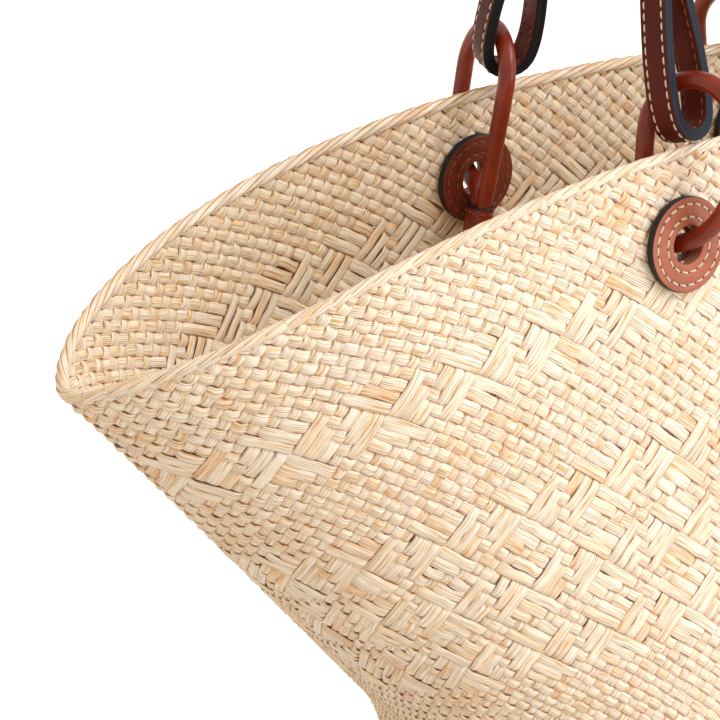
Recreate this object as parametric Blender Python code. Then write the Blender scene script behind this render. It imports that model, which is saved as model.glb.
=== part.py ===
"""Plaited tote basket with rolled leather rings and two strap handles.

Frame: origin on the floor under the middle of the basket, +X along the mouth, front wall towards -Y,
+Z up. The basket and its fittings are symmetric in X and in Y. Everything is in metres.
"""
import math

import bmesh
import bpy
import numpy as np

MM = 0.001
CLEARANCE = 0.3 * MM

# Basket shell
WALL = 3 * MM
RIM_HALF_LENGTH = 276.5 * MM
RIM_HEIGHT = 261.5 * MM
RIM_HALF_DEPTH = 53.5 * MM
CORNER_DROOP = 60 * MM
SIDE_LEAN_DEG = 4.5
FOOT_RADIUS = 22 * MM
END_SLANT_DEG = 42
END_BEND_RADIUS = 62 * MM
END_FOOT_DEG = 5
DROOP_POWER = 2.33
RIM_FLATNESS_POWER = 6
BASE_FLATNESS_POWER = 2.6
RIM_CORNER_POWER = 1.42
BASE_CORNER_POWER = 2.4
POINTS_PER_QUARTER = 17
SPREAD_SHARE = 0.3
RING_SHARES = (0, 0.06, 0.14, 0.24, 0.34, 0.44, 0.54, 0.63, 0.71, 0.78, 0.84, 0.88, 0.915, 0.95, 0.98, 1)

# Rim braid
BRAID_WIDTH = 5 * MM
BRAID_HEIGHT = 6 * MM
BRAID_CORNER = 1.4 * MM

# Cord holes and leather washers
HOLE_HALF_SPACING = 68 * MM
HOLE_DEPTH = 32.5 * MM
HOLE_RADIUS = 6.8 * MM
WASHER_RADIUS = 16 * MM
WASHER_HOLE_RADIUS = 6.6 * MM
WASHER_THICKNESS = 2.8 * MM
WASHER_SIDES = 28

# Rolled ring cords
CORD_RADIUS = 3.15 * MM
CORD_END_RADIUS = 2.6 * MM
CORD_END_GAP = 0.4 * MM
CORD_SIDES = 8
CORD_STEP = 3.6 * MM
ARCH_RADIUS = 18 * MM
ARCH_RISE = 37 * MM
HOLE_SLOPE_DEG = 16
RING_YAW_DEG = 15
RING_TILT_DEG = 8.5
HOLE_BEND_SHARE = 0.52
LEG_BEND_SHARE = 0.4

# Leather sleeves on the cord ends
SLEEVE_WALL = 1 * MM
SLEEVE_LENGTH = 22 * MM
SLEEVE_DROP = 8 * MM
SLEEVE_GRIP = 12 * MM
SLEEVE_FLOOR = 2 * MM
SLEEVE_STANDOFF = 1 * MM
SLEEVE_ARC_STEPS = 8

# Strap handles
STRAP_WIDTH = 10.6 * MM
FACE_LEATHER = 1.95 * MM
LINING_LEATHER = 1.95 * MM
LOOP_HALF_WIDTH = 7.2 * MM
LOOP_HEIGHT = 62 * MM
LOOP_INSET = 7 * MM
LOOP_PLAY = 1.8 * MM
LOOP_OFFSET = 5.6 * MM
LOOP_YAW_DEG = 12
LOOP_UNTWIST = 60 * MM
TAIL_LENGTH = 34 * MM
HANDLE_REACH = 172 * MM
HANDLE_SHOULDER = 100 * MM
LOOP_STEP = 3.4 * MM
STRAP_STEP = 9 * MM
LOOP_SHARES = (
    (0, 0), (0.68, 0.032), (0.95, 0.115), (1, 0.25),
    (0.86, 0.45), (0.52, 0.69), (0.17, 0.88), (0, 1))

STRAW = ((0.80, 0.61, 0.40, 1), 0.75)
STRAW_EDGE = ((0.76, 0.56, 0.36, 1), 0.75)
WASHER_LEATHER = ((0.36, 0.13, 0.07, 1), 0.45)
CORD_LEATHER = ((0.27, 0.07, 0.04, 1), 0.35)
STRAP_LEATHER = ((0.16, 0.045, 0.03, 1), 0.45)
LINING_COLOUR = ((0.20, 0.07, 0.045, 1), 0.55)

WALLS = {"front": -1, "back": 1}
SIDES = {"left": -1, "right": 1}


def clear_scene():
    for item in list(bpy.data.objects):
        bpy.data.objects.remove(item, do_unlink=True)


def material(name, look):
    colour, roughness = look
    result = bpy.data.materials.new(name)
    result.use_nodes = True
    shader = result.node_tree.nodes["Principled BSDF"]
    shader.inputs["Base Color"].default_value = colour
    shader.inputs["Roughness"].default_value = roughness
    shader.inputs["Metallic"].default_value = 0
    return result


def add_object(name, points, faces, look, smooth=True, pivot=None):
    """Makes one closed mesh object, its origin at pivot, with its faces turned outwards."""
    pivot = np.zeros(3) if pivot is None else np.asarray(pivot)
    mesh = bpy.data.meshes.new(name)
    mesh.from_pydata([tuple(p - pivot) for p in np.asarray(points)], [], faces)
    shape = bmesh.new()
    shape.from_mesh(mesh)
    bmesh.ops.recalc_face_normals(shape, faces=shape.faces)
    shape.to_mesh(mesh)
    shape.free()
    if smooth:
        mesh.shade_smooth()
        mesh.set_sharp_from_angle(angle=math.radians(40))
    mesh.materials.append(look)
    result = bpy.data.objects.new(name, mesh)
    result.location = pivot
    bpy.context.collection.objects.link(result)
    return result


def add_cutter(name, points, faces):
    """Makes a hidden cutting shape."""
    mesh = bpy.data.meshes.new(name)
    mesh.from_pydata([tuple(p) for p in points], [], faces)
    shape = bmesh.new()
    shape.from_mesh(mesh)
    bmesh.ops.recalc_face_normals(shape, faces=shape.faces)
    shape.to_mesh(mesh)
    shape.free()
    result = bpy.data.objects.new(name, mesh)
    result.hide_render = True
    result.display_type = "WIRE"
    bpy.context.collection.objects.link(result)
    return result


def unit(vectors):
    return vectors / np.linalg.norm(vectors, axis=-1, keepdims=True)


def rotation(axis, angle):
    """Right-handed rotation matrix about a world axis, 0, 1 or 2 for X, Y or Z."""
    first, second = (axis + 1) % 3, (axis + 2) % 3
    matrix = np.eye(3)
    matrix[first, first] = matrix[second, second] = math.cos(angle)
    matrix[first, second] = -math.sin(angle)
    matrix[second, first] = math.sin(angle)
    return matrix


def smooth_curve(points, samples=24):
    """Catmull-Rom curve through the points, with its first and last legs held straight."""
    points = np.asarray(points, dtype=float)
    padded = np.vstack([2 * points[0] - points[1], points, 2 * points[-1] - points[-2]])
    share = np.linspace(0, 1, samples, endpoint=False)[:, None]
    parts = []
    for index in range(len(points) - 1):
        before, start, end, after = padded[index:index + 4]
        parts.append(0.5 * (2 * start + (end - before) * share
                            + (2 * before - 5 * start + 4 * end - after) * share ** 2
                            + (3 * start - before - 3 * end + after) * share ** 3))
    return np.vstack(parts + [points[-1:]])


def run_lengths(points):
    """Distance along a polyline at each of its points."""
    return np.concatenate([[0], np.cumsum(np.linalg.norm(np.diff(points, axis=0), axis=1))])


def resample(points, step):
    """The same polyline with even steps of about the given length."""
    along = run_lengths(points)
    places = np.linspace(0, along[-1], max(2, round(along[-1] / step)) + 1)
    return np.stack([np.interp(places, along, points[:, k]) for k in range(points.shape[1])], axis=1)


def bridge_rings(rings, count):
    """Quads between successive rings of count points, both ends capped with one face."""
    faces = []
    for row in range(rings - 1):
        for k in range(count):
            after = (k + 1) % count
            faces.append((row * count + k, row * count + after,
                          (row + 1) * count + after, (row + 1) * count + k))
    faces.append(tuple(range(count)))
    faces.append(tuple((rings - 1) * count + k for k in range(count)))
    return faces


def bridge_loop(rings, count):
    """Quads round a closed band of rings, the last joined to the first."""
    faces = []
    for row in range(rings):
        below = (row + 1) % rings
        for k in range(count):
            after = (k + 1) % count
            faces.append((row * count + k, row * count + after, below * count + after, below * count + k))
    return faces


# Basket shell surface

def profile(start, runs, shares):
    """Points (out, up) at shares of a run of straight lines and arcs.

    Each run is (length, heading at its start, heading at its end), a heading being the angle outwards
    from straight down in degrees: out grows by the integral of its sine, up falls by that of its cosine.
    """
    total = sum(run[0] for run in runs)
    result = []
    for share in shares:
        left = share * total
        place = np.array(start, dtype=float)
        for length, first, last in runs:
            first, last = math.radians(first), math.radians(last)
            part = min(left, length)
            heading = first + (last - first) * part / length
            if first == last:
                place = place + part * np.array([math.sin(first), -math.cos(first)])
            else:
                radius = length / (last - first)
                place = place + radius * np.array([math.cos(first) - math.cos(heading),
                                                   math.sin(first) - math.sin(heading)])
            left -= part
        result.append(place)
    return np.array(result)


def arc_run(radius, first, last):
    return (radius * math.radians(abs(last - first)), first, last)


def side_runs():
    """Runs of the wall's section through the middle of the basket."""
    foot_drop = FOOT_RADIUS * (1 + math.sin(math.radians(SIDE_LEAN_DEG)))
    drop = RIM_HEIGHT - WALL / 2 - foot_drop
    straight = drop / math.cos(math.radians(SIDE_LEAN_DEG))
    return [(straight, SIDE_LEAN_DEG, SIDE_LEAN_DEG), arc_run(FOOT_RADIUS, SIDE_LEAN_DEG, -90)]


def end_runs():
    """Runs of the basket's side edge, from the corner of the mouth to the base."""
    slant, foot = math.radians(END_SLANT_DEG), math.radians(END_FOOT_DEG)
    bend_drop = END_BEND_RADIUS * (math.sin(slant) - math.sin(foot))
    foot_drop = FOOT_RADIUS * (1 - math.sin(foot))
    drop = RIM_HEIGHT - CORNER_DROOP - WALL / 2 - bend_drop - foot_drop
    return [(drop / math.cos(slant), -END_SLANT_DEG, -END_SLANT_DEG),
            arc_run(END_BEND_RADIUS, -END_SLANT_DEG, -END_FOOT_DEG),
            arc_run(FOOT_RADIUS, -END_FOOT_DEG, -90)]


def side_length():
    return sum(run[0] for run in side_runs())


def wall_place(share, length_share):
    """Middle-surface points of the back wall at one share down the wall.

    length_share is X over the half length there. X = E x, Y = M (1 - x^a)^(1/b) and
    Z = top - (top - corner) x^d, with a and b easing from their rim to their base values.
    """
    side = profile((RIM_HALF_DEPTH, RIM_HEIGHT), side_runs(), [share])[0]
    end = profile((RIM_HALF_LENGTH, RIM_HEIGHT - CORNER_DROOP), end_runs(), [share])[0]
    ease = share * share * (3 - 2 * share)
    flatness = RIM_FLATNESS_POWER + (BASE_FLATNESS_POWER - RIM_FLATNESS_POWER) * ease
    corner = RIM_CORNER_POWER + (BASE_CORNER_POWER - RIM_CORNER_POWER) * ease
    x = np.asarray(length_share, dtype=float)
    fullness = np.clip(1 - np.abs(x) ** flatness, 0, 1) ** (1 / corner)
    height = side[1] - (side[1] - end[1]) * np.abs(x) ** DROOP_POWER
    return np.stack([end[0] * x, side[0] * fullness, height], -1)


def wall_ring(share):
    """One closed ring of middle-surface points round the basket, from the middle of the back wall."""
    dense = wall_place(share, np.sin(np.linspace(0, math.pi / 2, 600)))
    along = run_lengths(dense)
    even = np.linspace(0, 1, POINTS_PER_QUARTER + 1)
    spread = even * (1 + SPREAD_SHARE * (1 - even ** 2)) * along[-1]
    quarter = np.stack([np.interp(spread, along, dense[:, k]) for k in range(3)], axis=1)
    quarter[-1, 1] = 0
    right_front = quarter[-2::-1] * (1, -1, 1)
    left_front = quarter[1:] * (-1, -1, 1)
    left_back = quarter[-2:0:-1] * (-1, 1, 1)
    return np.vstack([quarter, right_front, left_front, left_back])


def ring_normals(rings):
    """Outward normals of a stack of rings, lengthened at tight turns so an offset keeps its thickness."""
    ahead = np.roll(rings, -1, axis=1) - rings
    behind = rings - np.roll(rings, 1, axis=1)
    turn = np.sum(unit(ahead) * unit(behind), axis=-1, keepdims=True)
    mitre = 1 / np.sqrt(np.clip((1 + turn) / 2, 0.16, 1))
    down = np.gradient(rings, axis=0)
    return unit(np.cross(unit(ahead) + unit(behind), down)) * mitre


def braid_share():
    return (BRAID_HEIGHT + CLEARANCE) / side_length()


def hole_place(wall, side):
    """Middle-surface centre of one cord hole and the wall's outward normal there."""
    share = HOLE_DEPTH / side_length()
    half_length = profile((RIM_HALF_LENGTH, RIM_HEIGHT - CORNER_DROOP), end_runs(), [share])[0][0]
    centre = wall_place(share, HOLE_HALF_SPACING / half_length) * (side, wall, 1)
    lean = math.radians(SIDE_LEAN_DEG)
    return centre, np.array([0, wall * math.cos(lean), math.sin(lean)])


def disc_frame(normal):
    """Two unit vectors across a normal that lies in the YZ plane."""
    across = np.array([1.0, 0, 0])
    return across, np.cross(normal, across)


def circle_points(centre, normal, radius, sides):
    across, other = disc_frame(normal)
    turns = np.arange(sides) * 2 * math.pi / sides
    return centre + radius * (np.cos(turns)[:, None] * across + np.sin(turns)[:, None] * other)


def hole_cutter():
    """One cylinder through the wall at each cord hole."""
    points, faces = [], []
    for wall in WALLS.values():
        for side in SIDES.values():
            centre, normal = hole_place(wall, side)
            first = len(points)
            for offset in (-2 * WALL, 2 * WALL):
                points.extend(circle_points(centre + offset * normal, normal, HOLE_RADIUS, WASHER_SIDES))
            faces.extend(tuple(first + k for k in face) for face in bridge_rings(2, WASHER_SIDES))
    return add_cutter("cord_hole_cutter", points, faces)


def basket_body(look):
    """Shell of even thickness, closed at the base, open at the mouth, with four cord holes."""
    shares = [max(share, braid_share()) for share in RING_SHARES]
    rings = np.array([wall_ring(share) for share in shares])
    normals = ring_normals(rings)
    normals[-1] = (0, 0, -1)
    outer = rings + normals * WALL / 2
    inner = rings - normals * WALL / 2
    count = rings.shape[1]
    points = np.concatenate([outer[::-1].reshape(-1, 3), inner.reshape(-1, 3)])
    body = add_object("basket_body", points, bridge_rings(2 * len(shares), count), look)
    cut = body.modifiers.new("cord holes", "BOOLEAN")
    cut.operation = "DIFFERENCE"
    cut.solver = "EXACT"
    cut.object = hole_cutter()
    return body


def rim_braid(look):
    """Closed band with chamfered corners that caps the edge of the mouth."""
    top, bottom = wall_ring(0), wall_ring(braid_share())
    across = ring_normals(np.array([top, bottom]))[1]
    half = BRAID_WIDTH / 2
    corners = [(0, half - BRAID_CORNER), (BRAID_CORNER, half), (BRAID_HEIGHT - BRAID_CORNER, half),
               (BRAID_HEIGHT, half - BRAID_CORNER)]
    corners += [(depth, -width) for depth, width in corners[::-1]]
    section = [top + (bottom - top) * depth / (BRAID_HEIGHT + CLEARANCE) + across * width
               for depth, width in corners]
    points = np.stack(section, axis=1).reshape(-1, 3)
    return add_object("rim_braid", points, bridge_loop(len(top), len(corners)), look)


# Washers

def washer(name, centre, normal, look):
    """Flat leather ring whose face nearer the wall is at centre."""
    rings = []
    for radius, offset in ((WASHER_RADIUS, 0), (WASHER_RADIUS, WASHER_THICKNESS),
                           (WASHER_HOLE_RADIUS, WASHER_THICKNESS), (WASHER_HOLE_RADIUS, 0)):
        rings.append(circle_points(centre + offset * normal, normal, radius, WASHER_SIDES))
    return add_object(name, np.vstack(rings), bridge_loop(4, WASHER_SIDES), look)


def washers(look):
    seat = WALL / 2 + CLEARANCE
    for wall_name, wall in WALLS.items():
        for side_name, side in SIDES.items():
            centre, normal = hole_place(wall, side)
            for face_name, face in (("outer", 1), ("inner", -1)):
                name = f"washer_{wall_name}_{side_name}_{face_name}"
                washer(name, centre + face * seat * normal, face * normal, look)


# Ring cords and sleeves, drawn in the plane of the ring: first inwards, then up, from the hole's centre

def sleeve_places():
    """How far inwards the two cord ends lie in the sleeve."""
    washer_face = WALL / 2 + CLEARANCE + WASHER_THICKNESS
    first = washer_face + SLEEVE_STANDOFF + SLEEVE_WALL + CLEARANCE + CORD_END_RADIUS
    return first, first + 2 * CORD_END_RADIUS + CORD_END_GAP


def bend(start, end, start_heading, end_heading, reach_share, samples=30):
    """Cubic from start to end that leaves and arrives along the given headings."""
    start, end = np.array(start), np.array(end)
    reach = reach_share * np.linalg.norm(end - start)
    share = np.linspace(0, 1, samples)[:, None]
    first = start + reach * np.array(start_heading)
    second = end - reach * np.array(end_heading)
    return ((1 - share) ** 3 * start + 3 * share * (1 - share) ** 2 * first
            + 3 * share ** 2 * (1 - share) * second + share ** 3 * end)


def ring_route():
    """The cord's middle line: out of the sleeve, out through the hole, up, over and back to the sleeve."""
    slope = math.radians(HOLE_SLOPE_DEG)
    first, second = sleeve_places()
    inner_end = -SLEEVE_DROP - SLEEVE_GRIP
    through = (-math.cos(slope), math.sin(slope))
    outer_radius = ARCH_RADIUS / (1 - math.sin(slope))
    turn = np.linspace(slope, math.pi / 2, 20)
    outer = np.stack([-outer_radius * (np.sin(turn) - math.sin(slope)),
                      outer_radius * (math.cos(slope) - np.cos(turn))], axis=1)
    over = np.linspace(math.pi, 0, 40)
    arch = np.stack([ARCH_RADIUS * np.cos(over), ARCH_RISE + ARCH_RADIUS * np.sin(over)], axis=1)
    parts = [np.array([(first, inner_end)]),
             bend((first, -SLEEVE_DROP), (0, 0), (0, 1), through, HOLE_BEND_SHARE),
             outer[1:], arch,
             bend((ARCH_RADIUS, ARCH_RISE), (second, -SLEEVE_DROP), (0, -1), (0, -1), LEG_BEND_SHARE)[1:],
             np.array([(second, inner_end)])]
    return resample(np.vstack(parts), CORD_STEP)


def ring_matrix(wall, side):
    """Turns the ring's plane (inwards, towards the bag's end, up) into world directions."""
    tilt = math.tan(math.radians(RING_TILT_DEG))
    yaw = math.radians(RING_YAW_DEG)
    frame = np.array([[0, side, 0], [-wall, 0, 0], [0, 0, 1]], dtype=float)
    swivel = rotation(2, yaw)
    lean = np.array([[1, 0, 0], [0, 1, -tilt], [0, 0, 1]]) / np.array([1, 1, math.hypot(1, tilt)])
    return frame @ swivel @ lean


def ring_cord(name, wall, side, look):
    """Round cord along the ring route, thinned where its ends go into the sleeve."""
    route = ring_route()
    along = run_lengths(route)
    from_end = np.minimum(along, along[-1] - along)
    ease = np.clip((from_end - SLEEVE_GRIP) / (2 * CORD_RADIUS), 0, 1)
    radii = CORD_END_RADIUS + (CORD_RADIUS - CORD_END_RADIUS) * ease
    heading = unit(np.gradient(route, axis=0))
    turns = (np.arange(CORD_SIDES) + 0.5) * 2 * math.pi / CORD_SIDES
    spread = radii[:, None] / math.cos(math.pi / CORD_SIDES)
    in_plane = route[:, None, :] + spread[..., None] * np.cos(turns)[None, :, None] * np.stack(
        [heading[:, 1], -heading[:, 0]], axis=1)[:, None, :]
    out_of_plane = spread * np.sin(turns)[None, :]
    local = np.stack([in_plane[..., 0], out_of_plane, in_plane[..., 1]], axis=-1).reshape(-1, 3)
    centre = hole_place(wall, side)[0]
    points = local @ ring_matrix(wall, side).T + centre
    return add_object(name, points, bridge_rings(len(route), CORD_SIDES), look, pivot=centre)


def stadium(first, second, radius, height):
    """Round-ended outline across the sleeve at one height."""
    steps = np.linspace(-math.pi / 2, math.pi / 2, SLEEVE_ARC_STEPS)
    right = np.stack([second + radius * np.cos(steps), radius * np.sin(steps)], axis=1)
    left = np.stack([first - radius * np.cos(steps), -radius * np.sin(steps)], axis=1)
    outline = np.vstack([right, left])
    return np.column_stack([outline, np.full(len(outline), height)])


def ring_sleeve(name, wall, side, look):
    """Flat leather pocket, open at the top, round both cord ends."""
    first, second = sleeve_places()
    inner = CORD_END_RADIUS / math.cos(math.pi / CORD_SIDES) + CLEARANCE
    outer = inner + SLEEVE_WALL
    pocket_floor = -SLEEVE_DROP - SLEEVE_GRIP - CLEARANCE
    base = min(-SLEEVE_DROP - SLEEVE_LENGTH, pocket_floor - SLEEVE_FLOOR)
    rings = [stadium(first, second, outer, base), stadium(first, second, outer, -SLEEVE_DROP),
             stadium(first, second, inner, -SLEEVE_DROP), stadium(first, second, inner, pocket_floor)]
    centre = hole_place(wall, side)[0]
    points = np.vstack(rings) @ ring_matrix(wall, side).T + centre
    return add_object(name, points, bridge_rings(4, 2 * SLEEVE_ARC_STEPS), look, pivot=centre)


# Handles, drawn in the handle's plane: first along X, then up from the pivot

def pivot_place(wall):
    """A point on the handle's hinge line, which runs along X through the middles of both ring arches."""
    arch = ring_matrix(wall, 1) @ np.array([0, 0, ARCH_RISE]) + hole_place(wall, 1)[0]
    return np.array([0, arch[1], arch[2]])


def strap_thickness():
    return LINING_LEATHER + CLEARANCE + FACE_LEATHER


def handle_lean():
    """Lean at which the two handles meet over the middle of the mouth.

    The strap's inner top edge lies at distance d - reach sin(a) - (offset + half width) cos(a) from the
    middle plane, which is set to half the clearance.
    """
    reach = HANDLE_REACH + strap_thickness()
    across = LOOP_OFFSET + STRAP_WIDTH / 2
    distance = abs(pivot_place(1)[1]) - CLEARANCE
    return math.asin(distance / math.hypot(reach, across)) - math.atan2(across, reach)


def loop_bottom(wall):
    """Height of the loop's inner surface over the pivot.

    The back handle is drawn up until the inner edge of its loops meets the underside of the ring arch:
    sqrt(arch radius^2 - edge^2) less a little play. The front handle rests on the rim braid.
    """
    if wall == WALLS["back"]:
        underside = ARCH_RADIUS - CORD_RADIUS / math.cos(math.pi / CORD_SIDES)
        edge = LOOP_OFFSET + STRAP_WIDTH / 2
        return math.sqrt(underside ** 2 - edge ** 2) - LOOP_PLAY
    rim = wall_place(0, (HOLE_HALF_SPACING - LOOP_INSET) / RIM_HALF_LENGTH)
    pivot = pivot_place(wall)
    lean = handle_lean()
    inward = abs(pivot[1]) - rim[1] + BRAID_WIDTH / 2 - BRAID_CORNER
    seat = (rim[2] + CLEARANCE - pivot[2] + inward * math.tan(lean)) * math.cos(lean)
    return seat + strap_thickness()


def handle_route(wall):
    """Inner surface line of the handle from tail end to tail end, as (X, up) points."""
    seam = CLEARANCE / 2
    axis = HOLE_HALF_SPACING - LOOP_INSET
    bottom = loop_bottom(wall)
    inner = [(LOOP_HALF_WIDTH * width + seam, bottom + LOOP_HEIGHT * up) for width, up in LOOP_SHARES[1:]]
    tail_top = (seam, bottom + LOOP_HEIGHT + TAIL_LENGTH)
    loop = [tail_top] + inner[::-1] + [(0, bottom)] + [(-width, up) for width, up in inner]
    loop = resample(smooth_curve(loop), LOOP_STEP)
    over = np.linspace(math.pi, math.pi / 2, 40)
    rise = HANDLE_REACH - HANDLE_SHOULDER
    arch = np.stack([(axis + seam) * np.cos(over), HANDLE_SHOULDER + rise * np.sin(over)], axis=1)
    left = loop - (axis, 0)
    upper = resample(np.vstack([left[-1:], arch]), STRAP_STEP)
    half = np.vstack([left, upper[1:]])
    return np.vstack([half, half[-2::-1] * (-1, 1)])


def handle_ribbon(name, wall, inner, outer, look):
    """Leather strip between two offsets from the handle's inner surface line.

    Near each loop the strip is turned about the loop's upright axis by the loop's yaw, which eases out
    over the leg above it.
    """
    route = handle_route(wall)
    heading = unit(np.gradient(route, axis=0))
    outward = np.stack([-heading[:, 1], heading[:, 0]], axis=1)
    axis = np.where(route[:, 0] < 0, -1, 1) * (HOLE_HALF_SPACING - LOOP_INSET)
    ease = np.clip((route[:, 1] - loop_bottom(wall) - LOOP_HEIGHT) / LOOP_UNTWIST, 0, 1)
    yaw = math.radians(LOOP_YAW_DEG) * (1 - ease * ease * (3 - 2 * ease)) * -np.sign(axis)
    lean = handle_lean()
    up = np.array([0, -wall * math.sin(lean), math.cos(lean)])
    inwards = np.array([0, -wall * math.cos(lean), -math.sin(lean)])
    across = np.array([1.0, 0, 0])
    half = STRAP_WIDTH / 2
    corners = []
    for offset, width in ((inner, -half), (outer, -half), (outer, half), (inner, half)):
        flat = route + offset * outward
        beside = flat[:, 0] - axis
        x = axis + beside * np.cos(yaw) - width * np.sin(yaw)
        depth = LOOP_OFFSET + beside * np.sin(yaw) + width * np.cos(yaw)
        corners.append(x[:, None] * across + depth[:, None] * inwards + flat[:, 1:] * up)
    pivot = pivot_place(wall)
    points = np.stack(corners, axis=1).reshape(-1, 3) + pivot
    return add_object(name, points, bridge_rings(len(route), 4), look, smooth=False, pivot=pivot)


def build():
    clear_scene()
    basket_body(material("plaited straw", STRAW))
    rim_braid(material("braided straw edge", STRAW_EDGE))
    washers(material("tan washer leather", WASHER_LEATHER))
    cord_look = material("rolled cord leather", CORD_LEATHER)
    strap_look = material("dark strap leather", STRAP_LEATHER)
    lining_look = material("strap lining leather", LINING_COLOUR)
    for wall_name, wall in WALLS.items():
        for side_name, side in SIDES.items():
            ring_cord(f"ring_cord_{wall_name}_{side_name}", wall, side, cord_look)
            ring_sleeve(f"ring_sleeve_{wall_name}_{side_name}", wall, side, cord_look)
        handle_ribbon(f"handle_lining_{wall_name}", wall, 0, LINING_LEATHER, lining_look)
        handle_ribbon(f"handle_strap_{wall_name}", wall, LINING_LEATHER + CLEARANCE,
                      LINING_LEATHER + CLEARANCE + FACE_LEATHER, strap_look)


build()
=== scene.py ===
# Plaited palm leaf tote with leather handles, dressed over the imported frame.
import math
from functools import partial

import bpy
import numpy as np
from mathutils import Matrix


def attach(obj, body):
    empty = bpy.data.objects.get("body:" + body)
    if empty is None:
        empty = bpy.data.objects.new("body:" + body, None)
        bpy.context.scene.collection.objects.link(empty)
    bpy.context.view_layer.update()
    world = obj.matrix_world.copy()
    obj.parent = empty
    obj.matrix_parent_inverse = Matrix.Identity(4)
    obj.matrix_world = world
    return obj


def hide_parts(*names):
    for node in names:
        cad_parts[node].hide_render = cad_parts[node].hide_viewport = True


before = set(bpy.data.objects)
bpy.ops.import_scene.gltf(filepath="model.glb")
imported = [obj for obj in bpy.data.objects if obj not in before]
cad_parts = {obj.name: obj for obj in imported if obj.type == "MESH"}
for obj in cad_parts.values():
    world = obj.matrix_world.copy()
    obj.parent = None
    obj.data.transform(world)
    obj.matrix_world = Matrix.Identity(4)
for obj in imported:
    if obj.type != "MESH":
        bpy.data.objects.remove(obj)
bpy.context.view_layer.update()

# ---------------------------------------------------------------- Basket wall
# The wall is one skin of flat palm leaf strands, plaited on the bias: one set runs down to the
# right, the other up to the right, each strand a bundle of fine split fibres. Plain plait, with
# bands of small pinwheels where the strands float over two, three and four others.

MM = 0.001

RIM_HALF_LENGTH = 276.5 * MM
RIM_HEIGHT = 261.5 * MM
RIM_HALF_DEPTH = 53.5 * MM
CORNER_DROOP = 60 * MM
SIDE_LEAN_DEG = 4.5
FOOT_RADIUS = 22 * MM
END_SLANT_DEG = 42
END_BEND_RADIUS = 62 * MM
END_FOOT_DEG = 5
DROOP_POWER = 2.33
RIM_POWERS = (6, 1.42)
BASE_POWERS = (2.6, 2.4)
WALL = 3 * MM

COLUMNS = 320            # half strand pitches round the mouth
ROWS = 96                # crossings from the mouth to the base
STEPS = 3                # mesh rings from one crossing to the next
CROWDING = 0.29          # how much wider the pitch is mid wall than at the ends, low down
CROWDING_ROWS = (9, 52)  # rows above it, and rows that it takes to come in
PINWHEEL_ROWS = ((17, 12), (37, 19), (47, 24), (57, 29))   # row, first strand of one pinwheel
PINWHEEL_PITCH = 5
STRAND_LIFT = 0.74 * MM
STRAND_THICKNESS = 1.3 * MM
RIM_ROWS = (3, 5)        # full and fading rows of the tighter, rounder plait below the rim
# Lifts where a strand is over, under and in a float, then its widths there over the distance
# between neighbours.
FALLING_FORM = (1.2, -0.85, 1.15, 0.99, 0.93, 1.08)
RISING_FORM = (0.62, -1.1, 1.1, 0.85, 0.97, 1.1)
RIM_KNOB = (1.15, 0.99)  # lift and width where either set is over, in the rim rows
SLOPE_SWELL = 0.36       # four times the extra width half way from over to under
RIM_SQUEEZE = 0.05       # width lost under a neighbour in the rim rows
RIM_SPREAD = 0.02
KNOB_SWELL = 0.6         # extra thickness of a knob in the rim rows
FLOAT_THINNING = 0.2
RIM_LIFT = 0.2
WIDTH_SPREAD = 0.04      # random spread of widths, from strand to strand and along a strand
LIFT_SPREAD = 0.1
SIDE_SPREAD = 0.17 * MM
STRAND_SECTION = np.array([(1, 0), (0.8, 0.7), (0, 1), (-0.8, 0.7),
                           (-1, 0), (-0.8, -0.7), (0, -1), (0.8, -0.7)])
STRAND_FLATNESS = 3.2    # a strand's width over its thickness

HOLE_HALF_SPACING = 68 * MM
HOLE_DEPTH = 32.5 * MM
HOLE_OPEN_RADIUS = 7.4 * MM

PALM_LIGHT = "#FFFAF3"
PALM_MID = "#FCEDD5"
PALM_SHADE = "#ECC084"
PALM_LINE = "#8E4A14"
PALM_PINK = "#F7D8B6"
# Painted shade: brown multiplied into the crevices between strands, and a faint tint that darkens
# the inner faces.
PALM_CREVICE_SHADE = "#B87436"
PALM_INSIDE_FACE_SHADE = "#FFFEF8"
FIBRES_ROUND = 14.0      # split fibres round one strand, 0.7 mm each


def unit(vectors):
    return vectors / np.maximum(np.linalg.norm(vectors, axis=-1, keepdims=True), 1e-12)


def ease(share):
    """Smooth step: 3 s^2 - 2 s^3 between 0 and 1."""
    share = np.clip(share, 0, 1)
    return share * share * (3 - 2 * share)


def lengths(points):
    """Distance along each polyline to each of its points."""
    steps = np.linalg.norm(np.diff(points, axis=-2), axis=-1)
    return np.concatenate([np.zeros(steps.shape[:-1] + (1,)), np.cumsum(steps, axis=-1)], axis=-1)


def points_at(places, along, points):
    """Points of a polyline at given distances along it."""
    return np.stack([np.interp(places, along, column) for column in points.T], axis=-1)


def profile(start, runs, shares):
    """Points (out, up) at shares of a run of straight lines and arcs.

    Each run is (length, first heading, last heading), a heading being the angle outwards from
    straight down: out grows by the integral of its sine and up falls by that of its cosine.
    """
    total = sum(run[0] for run in runs)
    left = np.asarray(shares, dtype=float) * total
    out, up = np.full(len(left), float(start[0])), np.full(len(left), float(start[1]))
    for length, first, last in runs:
        first, last = math.radians(first), math.radians(last)
        part = np.clip(left, 0, length)
        if first == last:
            out, up = out + part * math.sin(first), up - part * math.cos(first)
        else:
            radius = length / (last - first)
            heading = first + (last - first) * part / length
            out = out + radius * (math.cos(first) - np.cos(heading))
            up = up + radius * (math.sin(first) - np.sin(heading))
        left = left - length
    return out, up


def arc_run(radius, first, last):
    return (radius * math.radians(abs(last - first)), first, last)


def side_runs():
    """Section through the middle: a leaning straight wall, then the rounded foot."""
    foot_drop = FOOT_RADIUS * (1 + math.sin(math.radians(SIDE_LEAN_DEG)))
    straight = (RIM_HEIGHT - WALL / 2 - foot_drop) / math.cos(math.radians(SIDE_LEAN_DEG))
    return [(straight, SIDE_LEAN_DEG, SIDE_LEAN_DEG), arc_run(FOOT_RADIUS, SIDE_LEAN_DEG, -90)]


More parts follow.
